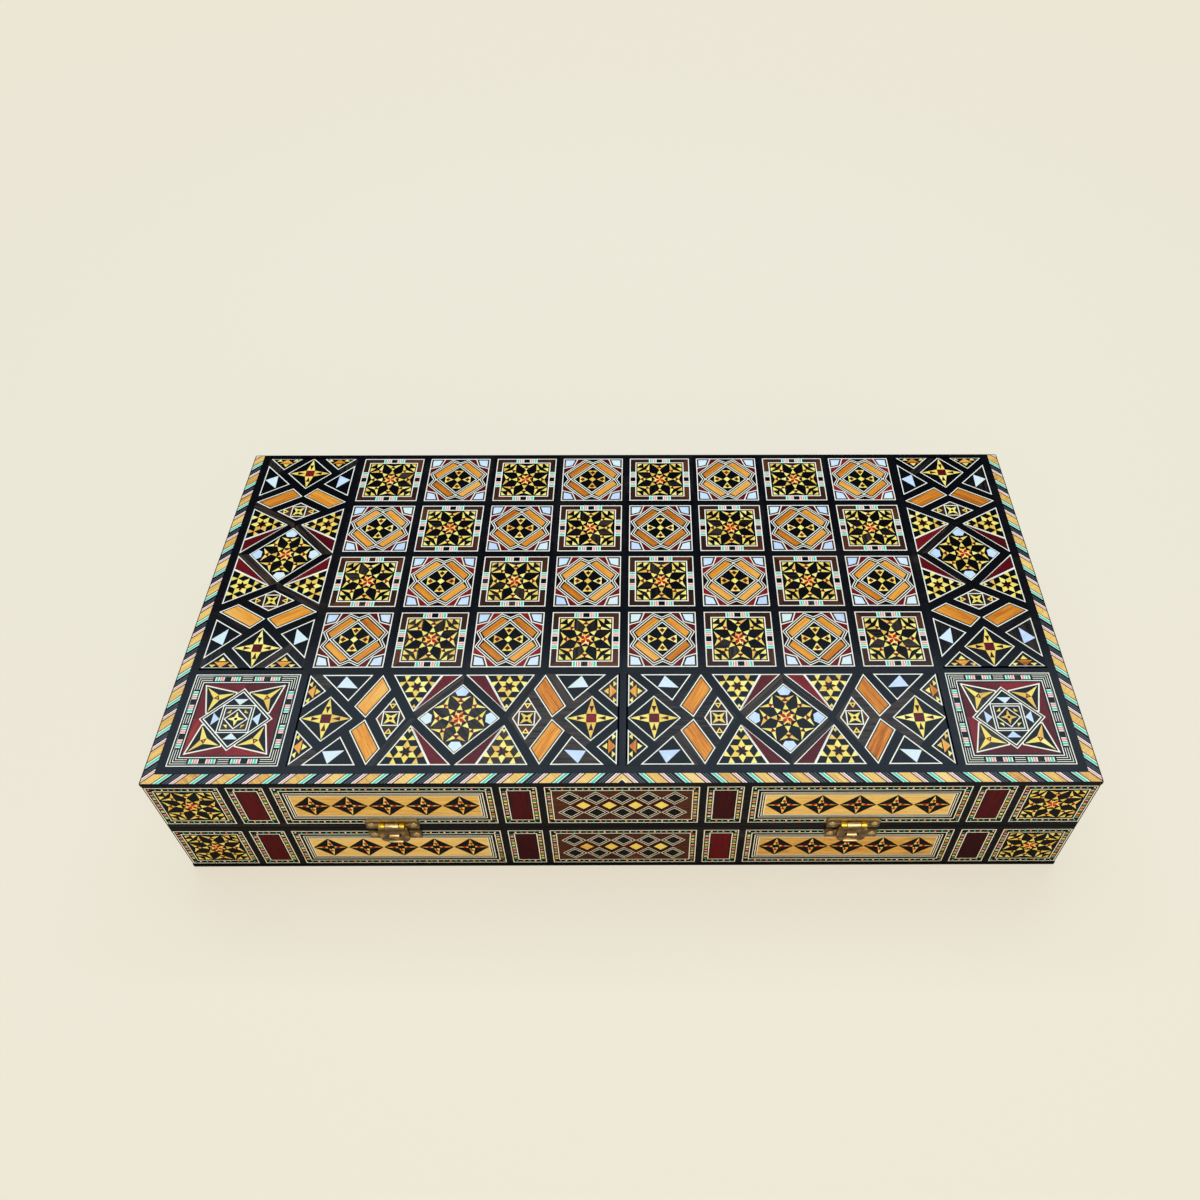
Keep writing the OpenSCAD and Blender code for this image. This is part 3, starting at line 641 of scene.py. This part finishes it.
def rosette(r):
    """Inside the trays: rings round the same star as on the squares."""
    m = Motif()
    m.nested(lambda ring: star(48, ring, ring, 0), (r, "cream"), (r - 0.8, "ebony"),
             (r - 1.6, "cream"), (r - 2.4, "brown"), (r - 6.6, "cream"), (r - 7.4, "ebony"))
    for k in range(16):
        m.add(turned([(r - 3.0, 0), (r - 4.5, -1.6), (r - 6.0, 0), (r - 4.5, 1.6)], 22.5 * k),
              "yellow" if k % 2 else "turquoise")
    m.place(star_field(corners=False), scale=(r - 8.4) / 15.9)
    return m


MOTIFS["corner"] = corner_panel()
MOTIFS["border"] = border_panel()
print({name: len(m.layers) for name, m in MOTIFS.items()}, "shapes drawn")

# %% [markdown]
# ## Wall panels and rope banding
# Every wall panel has a band of coloured blocks between two cream lines.

# %%
SLIVER = 0.2         # a block cut shorter than this is left out
STAR_PANEL = 39.2    # side of the wall panel that takes the star at full size


def block_frame(w, h, period=13.75):
    """Cream line, dark band of coloured blocks and inner cream line round a panel."""
    m = Motif()
    m.framed(box(-w / 2, w / 2, -h / 2, h / 2),
             [(0, "cream"), (0.55, "jet"), (3.2, "cream"), (3.75, "jet")])
    blocks = {0: [(0.0, 0.9, "cream"), (3.4, 0.8, "turquoise"), (6.4, 1.0, "warm"),
                  (10.4, 0.8, "turquoise")],
              90: [(0.0, 1.7, "warm"), (2.1, 0.7, "turquoise"), (4.0, 1.6, "warm"),
                   (6.9, 1.5, "warm"), (8.8, 0.7, "turquoise"), (10.9, 1.5, "pink")]}
    shades = random.Random(int(w * 10))
    for turn in (0, 90, 180, 270):
        along, across, margin, slim = (h, w, 4.1, 0) if turn % 180 else (w, h, 1.1, 0.2)
        reach = along / 2 - margin
        near, far = across / 2 - 2.75 + slim, across / 2 - 1.15 - slim
        x = -reach - shades.random() * period
        while x < reach:
            for start, length, finish in blocks[turn % 180]:
                start += shades.uniform(-0.3, 0.3)
                a, b = max(x + start, -reach), min(x + start + length, reach)
                if b - a > SLIVER:
                    if finish == "warm":
                        finish = shades.choice(("maple", "yellow", "orange", "pink"))
                    m.add(turned(box(a, b, near, far), turn), finish, turn + 90)
            x += period
    return m


def wall_star(w, h):
    m = block_frame(w, h)
    m.place(star_field(), scale=min(w, h) / STAR_PANEL)
    return m


def wall_red(w, h):
    m = block_frame(w, h)
    m.add(inset(box(-w / 2, w / 2, -h / 2, h / 2), 4.5), "red", 90)
    return m


DIAMOND_STEP = 19.7    # about; the diamonds fill the field evenly


def wall_diamonds(w, h):
    """A row of black diamonds with lemon stars on pale wood."""
    m = block_frame(w, h)
    for dx, dy, finish in ((5.2, 5.7, "cream"), (5.7, 6.2, "jet"), (6.5, 7.1, "cream"),
                           (7.0, 7.6, "jet"), (7.6, 8.3, "cream"), (8.1, 8.8, "maple")):
        m.add(box(dx - w / 2, w / 2 - dx, dy - h / 2, h / 2 - dy), finish, 0)
    field_w, field_h = w - 2 * 8.1, h - 2 * 8.8
    count = round(field_w / DIAMOND_STEP)
    step = field_w / count
    for i in range(count):
        cx = -field_w / 2 + step * (i + 0.5)
        a, b = step / 2 - 0.05, field_h / 2 - 0.05
        m.add([(cx - a, 0), (cx, -b), (cx + a, 0), (cx, b)], "jet")
        for k in (0, 180, 90, 270):
            reach, wide, shade = (b - 0.9, 1.6, "maple") if k % 180 else (a - 0.9, 1.15, "orange")
            for points, finish in (
                    ([(1.7, 0), (1.7, wide), (reach, 0)], "yellow"),
                    ([(2.6, 0), (reach, 0), (1.7, -wide)], shade),
                    ([(2.2, -0.4), (4.2, -1.2), (5.3, 0.3), (3.8, 1.0)], "scarlet")):
                m.add(moved(turned(points, k), cx, 0), finish, k)
        m.add(box(cx - 1.9, cx + 1.9, -1.3, 1.3), "jet")
    return m


def wall_centre(w, h):
    """Two rows of outlined black diamonds on brown, pale diamonds between them."""
    m = block_frame(w, h)
    half_w, half_h = w / 2 - 3.9, h / 2 - 3.9
    m.add(box(-half_w, half_w, -half_h, half_h), "brown", 0)
    step = 13.9
    count = int((2 * half_w + 1) // step)
    for i in range(count + 1):
        cx = (i - count / 2) * step
        for s in (1, -1):
            tri = [(cx - 6.2, s * half_h), (cx, s * (half_h - 6.2)), (cx + 6.2, s * half_h)]
            if abs(cx) + 6.2 < half_w + 3:
                tri = [(max(-half_w, min(half_w, x)), y) for x, y in tri]
                m.add(tri, "brown", 0)
    for i in range(count):
        cx = (i - (count - 1) / 2) * step
        for cy in (half_h / 2, -half_h / 2):
            m.nested(lambda r: diamond(-r, cx, cy), (6.85, "cream"), (6.3, "jet"),
                     (4.9, "cream"), (4.35, "jet"))
        if i < count - 1:
            m.nested(lambda r: diamond(-r, cx + step / 2), (6.6, "red"), (5.4, "jet"),
                     (3.9, "yellow"))
    return m


STRIPES = [(0.0, 0.9, "jet"), (0.9, 0.5, "cream"), (1.4, 1.2, "pink"), (2.6, 0.7, "cream"),
           (3.3, 1.3, "jet"), (4.6, 0.5, "grey"), (5.1, 1.1, "jet"), (6.2, 0.5, "grey"),
           (6.7, 2.1, "jet"), (8.8, 0.5, "cream"), (9.3, 1.8, "turquoise"),
           (11.1, 0.8, "cream"), (11.9, 0.7, "jet"), (12.6, 6.2, "maple")]
ROPE_PERIOD = 18.8


def rope_stripes(m, start, end, width, lean):
    """Slanting stripes between two places along a band of the given width."""
    for a, length, finish in STRIPES:
        x0, x1 = start + a, start + a + length
        if x0 > end:
            break
        m.add([(x0, 0), (x1, 0), (x1 + lean * width, width), (x0 + lean * width, width)], finish,
              math.degrees(math.atan2(1, lean)))


for m in (wall_star(38.1, 39.4), wall_centre(81.4, 39.4)):
    print("wall panel with", len(m.layers), "shapes")

# %% [markdown]
# ## Laying the tiles with Geometry Nodes
# A motif is cut once. A node tree then sets a copy on each point of a layout, turned as
# the point says, gives every piece of veneer its own tone, and makes one plain mesh.

# %%
def laying_tree():
    """Inputs: layout points, the motif, its veneer and a seed for the tones."""
    tree = bpy.data.node_groups.new("Lay veneers", "GeometryNodeTree")
    for name, side, kind in (("Layout", "INPUT", "Geometry"), ("Motif", "INPUT", "Object"),
                             ("Veneer", "INPUT", "Material"), ("Tone seed", "INPUT", "Int"),
                             ("Laid", "OUTPUT", "Geometry")):
        tree.interface.new_socket(name, in_out=side, socket_type="NodeSocket" + kind)
    given = node(tree, "NodeGroupInput").outputs
    motif = node(tree, "GeometryNodeObjectInfo", {"Object": given["Motif"]},
                 transform_space="ORIGINAL")
    turn = node(tree, "GeometryNodeInputNamedAttribute", {"Name": "turn"},
                data_type="FLOAT_VECTOR")
    spin = node(tree, "FunctionNodeEulerToRotation", {0: turn.outputs[0]})
    copies = node(tree, "GeometryNodeInstanceOnPoints",
                  {"Points": given["Layout"], "Instance": motif.outputs["Geometry"],
                   "Rotation": spin.outputs[0]})
    real = node(tree, "GeometryNodeRealizeInstances", {0: copies.outputs[0]})
    island = node(tree, "GeometryNodeInputMeshIsland")
    tone = node(tree, "FunctionNodeRandomValue", {"ID": island.outputs[0],
                "Seed": given["Tone seed"]}, data_type="FLOAT")
    stored = node(tree, "GeometryNodeStoreNamedAttribute",
                  {"Geometry": real.outputs[0], "Name": "tone", "Value": tone.outputs[1]},
                  data_type="FLOAT", domain="POINT")
    dressed = node(tree, "GeometryNodeSetMaterial",
                   {"Geometry": stored.outputs[0], "Material": given["Veneer"]})
    node(tree, "NodeGroupOutput", {0: dressed.outputs[0]})
    return tree


def facing(normal, up):
    """Turn that lays a motif on a face: its z to the normal, its y to up."""
    z, y = Vector(normal), Vector(up)
    x = y.cross(z)
    return Matrix((x, y, z)).transposed().to_euler()


def laid(name, cut, places, wood, seed):
    """The motif on every place (point in mm, turn), as one plain mesh."""
    mesh = bpy.data.meshes.new(name + " layout")
    mesh.from_pydata([tuple(c * MM for c in p) for p, _ in places], [], [])
    turn = mesh.attributes.new("turn", "FLOAT_VECTOR", "POINT")
    turn.data.foreach_set("vector", [c for _, t in places for c in t])
    layout, motif = linked(name + " layout", mesh), linked(name + " motif", cut)
    nodes = layout.modifiers.new("Lay veneers", "NODES")
    nodes.node_group = LAYING
    given = {"Motif": motif, "Veneer": wood, "Tone seed": seed}
    for socket in LAYING.interface.items_tree:
        if socket.name in given:
            nodes[socket.identifier] = given[socket.name]
    bpy.context.view_layer.update()
    ready = layout.evaluated_get(bpy.context.evaluated_depsgraph_get())
    result = bpy.data.meshes.new_from_object(ready)
    for made in (layout, motif):
        bpy.data.objects.remove(made)
    return result


LAYING = laying_tree()
SIDE_UP = (0, 0, 1)
END_WALL = 240     # millimetres from the middle; the end walls' tiles lie further out
FRONT_WALL = 248   # and the front wall's tiles nearer in
stock = {}


def lay(body, motif, places, label, mask=None):
    """Cut a motif and keep its laid pieces, sorted by body and finish."""
    for finish, pieces in motif.pieces(mask).items():
        mesh = slab_mesh(f"{label} {finish}", pieces)
        done = laid(f"{label} {finish}", mesh, places, FINISHES[finish], len(stock) * 7 + 1)
        stock.setdefault((body, finish), []).append(done)


def tiles(node_name, normal, up):
    """Places of the tiles of a CAD node on the face with this normal, and their size."""
    axis = max(range(3), key=lambda i: abs(normal[i]))
    places, size = [], None
    for low, high in solids(node_name):
        middle = (low + high) / 2
        if axis != 2 and (middle[axis] > 0) != (normal[axis] > 0):
            continue
        if axis == 0 and abs(middle[0]) < END_WALL or axis == 1 and abs(middle[0]) > FRONT_WALL:
            continue
        middle[axis] = high[axis] if normal[axis] > 0 else low[axis]
        places.append((tuple(middle), facing(normal, up)))
        size = high - low if size is None else size
    return places, size


for body, up_z in (("lid", 1), ("base", -1)):
    for part, motif in (("star_squares", "star"), ("diamond_squares", "diamond"),
                        ("corner_panels", "corner"), ("border_panels", "border"),
                        ("end_panels", "border")):
        up = (-1, 0, 0) if part == "end_panels" else (0, 1, 0)
        places, _ = tiles(f"{body}_{part}", (0, 0, up_z), up)
        lay(body, MOTIFS[motif], places, f"{body} {part}")
    for normal in ((0, -1, 0), (1, 0, 0), (-1, 0, 0)):
        for part, draw in (("wall_star_panels", wall_star), ("wall_red_panels", wall_red),
                           ("wall_diamond_panels", wall_diamonds),
                           ("wall_centre_panel", wall_centre)):
            places, size = tiles(f"{body}_{part}", normal, SIDE_UP)
            if places:
                w = size[0] if normal[1] else size[1]
                lay(body, draw(w, size[2]), places, f"{body} {part}")
print("laid:", len(stock), "kinds of veneer")

# %% [markdown]
# Each tray has one rosette in the middle of its field. It is seen with the box open.

# %%
rosettes = {}
for body, up in (("lid", -1), ("base", 1)):
    low, high = (np.array(v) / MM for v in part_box(f"{body}_rosette"))
    middle = (low + high) / 2
    middle[2] = high[2] if up > 0 else low[2]
    place = [(tuple(middle), facing((0, 0, up), (0, 1, 0)))]
    for finish, pieces in rosette((high[0] - low[0]) / 2).pieces().items():
        label = f"{body} rosette {finish}"
        mesh = slab_mesh(label, pieces)
        rosettes[body, finish] = laid(label, mesh, place, FINISHES[finish], 5)
print("rosette finishes:", sorted({f for _, f in rosettes}))

# %% [markdown]
# The rope banding runs along the front and both ends. Its stripes lean away from the
# middle of the front, and the runs meet in mitres at the corners.

# %%
ROPE_WIDTH = 5.6
ROPE_START = 5.4     # the first stripe's distance from the middle of the front


def rope_run(mask, start, stop, lean):
    """A run of pale wood with slanting stripes across it."""
    run = Motif()
    run.add(mask, "maple", 45)
    while start < stop:
        rope_stripes(run, start, stop, ROPE_WIDTH, lean)
        start += ROPE_PERIOD
    return run


for body, up in (("lid", 1), ("base", -1)):
    low, high = (np.array(v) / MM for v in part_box(f"{body}_rope_banding"))
    half, depth, w = high[0], high[1] - low[1], ROPE_WIDTH
    place = [((0, low[1], high[2] if up > 0 else low[2]), facing((0, 0, up), (0, up, 0)))]
    for side in (1, -1):
        front_mask = [(0, 0), (half, 0), (half - w, w), (0, w)]
        front = rope_run(front_mask, ROPE_START, half + w, -1)
        front.nested(lambda r: [(0, 0), (r, 0), (0, r)], (2.4, "cream"), (1.9, "jet"))
        end_mask = [(0, 0), (depth, 0), (depth, w), (w, w)]
        end = rope_run(end_mask, -ROPE_PERIOD, depth + w, 1)
        # both are drawn along x; the end run turns the front corner and goes back
        for label, run, mask, stood in (
                ("front", front, front_mask, lambda u, v: (u * side, up * v)),
                ("end", end, end_mask, lambda u, v: (side * (half - v), up * u))):
            run.layers = [(oriented([stood(*p) for p in points]), finish, grain)
                          for points, finish, grain in run.layers]
            lay(body, run, place, f"{body} rope {label}", oriented([stood(*p) for p in mask]))
print("laid:", {k: sum(len(m.polygons) for m in v) for k, v in stock.items()})

# %% [markdown]
# All laid pieces of one veneer in one half of the box become one object.

# %%
INLAID = ("star_squares", "diamond_squares", "border_panels", "end_panels", "corner_panels",
          "rope_banding", "wall_star_panels", "wall_red_panels", "wall_diamond_panels",
          "wall_centre_panel")


def values(data, key, width=3):
    found = np.zeros(len(data) * width, np.float32)
    data.foreach_get(key, found)
    return found.reshape(-1, width)


def joined(name, meshes, material, side=0):
    """One object from several plain meshes of one material, or one half of them."""
    co = np.concatenate([values(mesh.vertices, "co") for mesh in meshes])
    grain = np.concatenate([values(m.attributes["grain"].data, "vector") for m in meshes])
    tone = np.concatenate([values(m.attributes["tone"].data, "value", 1) for m in meshes])
    faces, start = [], 0
    for mesh in meshes:
        faces += [[start + i for i in p.vertices] for p in mesh.polygons]
        start += len(mesh.vertices)
    faces = [f for f in faces if not side or co[f[0]][0] * side > 0]
    used = sorted({i for f in faces for i in f})
    place = {i: n for n, i in enumerate(used)}
    whole = bpy.data.meshes.new(name)
    whole.from_pydata(co[used].tolist(), [], [[place[i] for i in f] for f in faces])
    for key, kind, entry, found in (("grain", "FLOAT_VECTOR", "vector", grain),
                                    ("tone", "FLOAT", "value", tone)):
        whole.attributes.new(key, kind, "POINT").data.foreach_set(entry, found[used].ravel())
    whole.materials.append(material)
    return linked(name, whole)


for (body, finish), meshes in sorted(stock.items()):
    sides = {"left_": -1, "right_": 1} if finish == "pearl" else {"": 0}
    for side, sign in sides.items():
        piece = joined(f"{body}_{side}{finish}_inlay", meshes, FINISHES[finish], sign)
        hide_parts(*[f"{body}_{part}" for part in INLAID])
        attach(piece, body)
        print(piece.name, len(piece.data.polygons), "faces")
for (body, finish), mesh in sorted(rosettes.items()):
    piece = joined(f"{body}_rosette_{finish}", [mesh], FINISHES[finish])
    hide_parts(f"{body}_rosette")
    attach(piece, body)

# %% [markdown]
# ## Frame woods and fittings
# The rails and the outer lattice keep their CAD meshes. Outside they are stained black,
# and inside the trays the wood shows brown.

# %%
def solid_wood(name, stops, stretch, coat=0.13, cells=None, inner=None):
    """Wood with grain along the axis whose stretch is smallest."""
    r = Recipe(name)
    where = r.place()
    long = r.scaled(where, stretch)
    fine = r.noise(long, 22.0, 3, 0.7)
    value, high = r.add_share(fine, 0.4, r.noise(long, 3.0, 6, 0.6, 0.6)), 0.95
    if cells:
        cell = r.new("TexWhiteNoise", {"Vector": r.vector("SNAP", where, cells)})
        value, high = r.add_share(cell, 0.35, value), 1.3
    toned = r.span(value, 0.45, high)
    colour = r.ramp(toned, stops)
    if inner:
        (x0, y0, _), (x1, y1, _) = inner
        away = r.vector("SUBTRACT", where, ((x0 + x1) / 2, (y0 + y1) / 2, 0))
        apart = node(r.tree, "ShaderNodeSeparateXYZ", {0: r.vector("ABSOLUTE", away)}).outputs
        near = [r.math("LESS_THAN", apart[i], half + 0.0003)
                for i, half in ((0, (x1 - x0) / 2), (1, (y1 - y0) / 2))]
        colour = r.mixed(r.math("MULTIPLY", *near), colour, r.ramp(toned, WALNUT))
    r.surface(colour, r.span(fine, 0, 1, 0.28, 0.5), fine, 0.15, 0.0001)
    return r.lacquered(coat)


def brass(name, stops, highlight_colour=None, rough=(0.22, 0.42), front=None):
    """Metal with a blotchy patina and a painted highlight where a face looks up, as light from
    above falls;
    the painted highlight is yellow on what stands out further than the front."""
    r = Recipe(name)
    where = r.place()
    blot = r.noise(where, 260.0, 5)
    colour = r.ramp(blot, stops) if len(stops) > 1 else srgb(*stops[0][1:])
    if highlight_colour:
        # painted highlight: the colour is made brighter where a face looks up, where the overhead
        # light falls
        normal = r.new("NewGeometry", out="Normal")
        up_facing_highlight = r.span(r.new("SeparateXYZ", {0: normal}, 2), 0.25, 0.7)
        # the painted highlight turns yellow where the metal stands out further than the front of
        # the plate
        if front:
            y = r.new("SeparateXYZ", {0: where}, 1)
            highlight_colour = r.mixed(r.math("LESS_THAN", y, front), highlight_colour, srgb(250, 214, 74))
        colour = r.mixed(up_facing_highlight, colour, highlight_colour)
    r.surface(colour, r.span(blot, 0.3, 0.7, *rough), r.noise(where, 2400.0, 2), 0.1, 0.00005)
    fill(r.shader, {"Metallic": 1.0})
    return r.material


EBONY = [(0, 7, 7, 11), (0.55, 13, 13, 18), (0.85, 28, 24, 25), (1, 50, 42, 38)]
WALNUT = [(0, 44, 24, 15), (0.5, 78, 46, 28), (1, 118, 74, 44)]
PALE = [(0, 176, 128, 70), (0.5, 206, 160, 96), (1, 226, 188, 126)]
RED = [(0, 60, 14, 14), (0.6, 98, 24, 20), (1, 132, 44, 30)]
PATINA = [(0.35, 70, 50, 28), (0.55, 118, 88, 44), (0.72, 184, 146, 78)]
TRAY = [Vector(v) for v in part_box("base_playing_field")]
PLATE_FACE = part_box("left_catch_plate")[1].y - 0.0016
SATIN = 0.05    # coat of the wood inside the trays
rail_x = solid_wood("black rail wood", EBONY, (2, 26, 26), inner=TRAY)
rail_y = solid_wood("black side rail wood", EBONY, (26, 2, 26), inner=TRAY)
WOODS = {
    "lattice": solid_wood("black lattice wood", EBONY, (3, 22, 22), cells=(0.0444, 0.044, 0.1)),
    "front_rail": rail_x, "back_rail": rail_x, "left_rail": rail_y, "right_rail": rail_y,
    "board": dyed("plain board wood", (70, 44, 28), (30, 300, 300)),
    "playing_field": solid_wood("brown field wood", WALNUT, (3, 30, 30), SATIN),
    "light_points": solid_wood("pale point wood", PALE, (3, 40, 40), SATIN),
    "dark_points": solid_wood("red point wood", RED, (3, 40, 40), SATIN)}
# the third colour of each is a painted highlight on faces that look up
aged = brass("aged brass", PATINA, srgb(240, 218, 166))
hooks = brass("latch plate brass", PATINA, srgb(232, 208, 152), front=PLATE_FACE)
bright = brass("bright brass", [(0, 232, 194, 96)], rough=(0.12, 0.28))
screws = brass("screw brass", [(0, 186, 160, 112)], rough=(0.3, 0.45))
FITTINGS = ("plate", "tongue", "leaf", "screws", "pin")
for name, cad in frame["nodes"].items():
    part = name.split("_", 1)[1]
    if cad.hide_render or part.endswith(FITTINGS):
        continue
    cad.data.materials.clear()
    cad.data.materials.append(WOODS[part])
print("dressed:", sum(not o.hide_render for o in frame["nodes"].values()), "CAD nodes")

# %% [markdown]
# The brass fittings are drawn again from their CAD meshes with eased edges, which catch
# the light, and with smooth round parts.

# %%
SHARP = 0.7       # radians between the faces at an edge that is eased
EASE = 0.0003     # metres


def eased(cad, width, material):
    """A copy of a CAD mesh with its sharp edges bevelled."""
    mesh = bpy.data.meshes.new(cad.name + " eased")
    grid = bmesh.new()
    grid.from_mesh(cad.data)
    bmesh.ops.remove_doubles(grid, verts=grid.verts, dist=2e-6)
    bmesh.ops.dissolve_limit(grid, angle_limit=math.radians(1), verts=grid.verts,
                             edges=grid.edges)
    if width:
        sharp = [e for e in grid.edges if e.is_manifold and e.calc_face_angle(0) > SHARP]
        bmesh.ops.bevel(grid, geom=sharp, offset=width, segments=2, profile=0.6,
                        affect="EDGES", clamp_overlap=True)
    grid.to_mesh(mesh)
    grid.free()
    mesh.shade_smooth()
    mesh.set_sharp_from_angle(angle=math.radians(32))
    mesh.materials.append(material)
    return linked(cad.name + "_fitting", mesh)


for body, names in frame["record"]["behaviour"]["bodies"].items():
    for name in names:
        part = name.split("_", 1)[1]
        if not part.endswith(FITTINGS):
            continue
        finish = bright if part.endswith("pin") else screws if part.endswith("screws") else \
            hooks if part == "latch_plate" else aged
        width = EASE if part.endswith(("plate", "tongue")) else 0
        piece = eased(frame["nodes"][name], width, finish)
        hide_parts(name)
        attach(piece, body)
        print(piece.name, len(piece.data.polygons), "faces")

# %% [markdown]
# ## Floor, light and camera
# A cream studio floor and two cool softboxes above the box. The further one is mirrored
# in the lacquer and greys its front third. A warm key and a soft fill light the front.

# %%
CREAM = srgb(238, 231, 213)


def backdrop(name):
    """White paper tone to the camera and to reflections, plain diffuse to the light."""
    r = Recipe(name)
    r.tree.nodes.remove(r.shader)
    rays = node(r.tree, "ShaderNodeLightPath").outputs
    away = r.new("VectorMath", {0: r.place()}, "Value", operation="LENGTH")
    near = r.span(away, 0.6, 1.6, 0.8)
    mirrored = r.math("MULTIPLY", rays["Is Glossy Ray"], 0.25)
    seen = r.math("MAXIMUM", rays["Is Camera Ray"], mirrored)
    seen = r.math("MAXIMUM", seen, rays["Is Transmission Ray"])
    paper = r.new("MixShader", {
        0: r.math("MULTIPLY", seen, near),
        1: r.new("BsdfDiffuse", {"Color": CREAM}),
        2: r.new("Emission", {"Color": CREAM, "Strength": 1.0})})
    fill(r.tree.nodes["Material Output"], {"Surface": paper})
    return r.material


FLOOR_HALF, FLOOR_Z = 30.0, -0.0004
floor = bpy.data.meshes.new("studio_floor")
floor.from_pydata([(x * FLOOR_HALF, y * FLOOR_HALF, FLOOR_Z)
                   for x, y in ((-1, -1), (1, -1), (1, 1), (-1, 1))], [], [(0, 1, 2, 3)])
floor.materials.append(backdrop("studio paper"))
linked("studio_floor", floor)

for name, place, target, size, power, colour in (
        ("overhead softbox", (0, 0.33, 1.7), (0, 0.33, 0), (2.3, 0.84), 23, (0.64, 0.82, 1.0)),
        ("mirrored softbox", (0, 0.94, 1.7), (0, 0.94, 0), (2.3, 0.38), 21, (0.62, 0.81, 1.0)),
        ("warm key", (0, -0.75, 0.85), (0, 0, 0.05), (1.5, 0.5), 4, (1.0, 0.83, 0.58)),
        ("front fill", (0.3, -1.7, 0.9), (0, 0, 0.05), (1.6, 1.0), 13, (1.0, 0.93, 0.8))):
    light = bpy.data.lights.new(name, "AREA")
    light.shape = "RECTANGLE"
    light.size, light.size_y = size
    light.energy, light.color = power, colour
    made = linked(name, light)
    made.location = place
    made.rotation_euler = (Vector(target) - Vector(place)).to_track_quat("-Z", "Y").to_euler()

world = bpy.data.worlds.new("studio")
bpy.context.scene.world = world
world.use_nodes = True
sky = world.node_tree
fill(sky.nodes["Background"], {0: CREAM, 1: 0.1})
fill(sky.nodes["World Output"], {0: node(sky, "ShaderNodeMixShader", {
    0: node(sky, "ShaderNodeLightPath").outputs["Is Camera Ray"],
    1: sky.nodes["Background"].outputs[0],
    2: node(sky, "ShaderNodeBackground", {0: CREAM}).outputs[0]}).outputs[0]})

# the lens and the picture's middle, as pixels of a frame 1200 wide
PIXELS, FOCAL, MIDDLE = 1200, 1072.9, (646.8, 534.8)
camera = bpy.data.cameras.new("camera")
camera.sensor_width = 36
camera.lens = FOCAL / PIXELS * camera.sensor_width
camera.shift_x = (PIXELS / 2 - MIDDLE[0]) / PIXELS
camera.shift_y = (MIDDLE[1] - PIXELS / 2) / PIXELS
eye = linked("camera", camera)
eye.location = (0.0115, -0.4082, 0.5873)    # fitted to the corners in the photo
eye.rotation_euler = (math.radians(90 - 47.12), math.radians(-0.05), math.radians(-0.2))
bpy.context.scene.camera = eye
bpy.context.scene.view_settings.view_transform = "Standard"
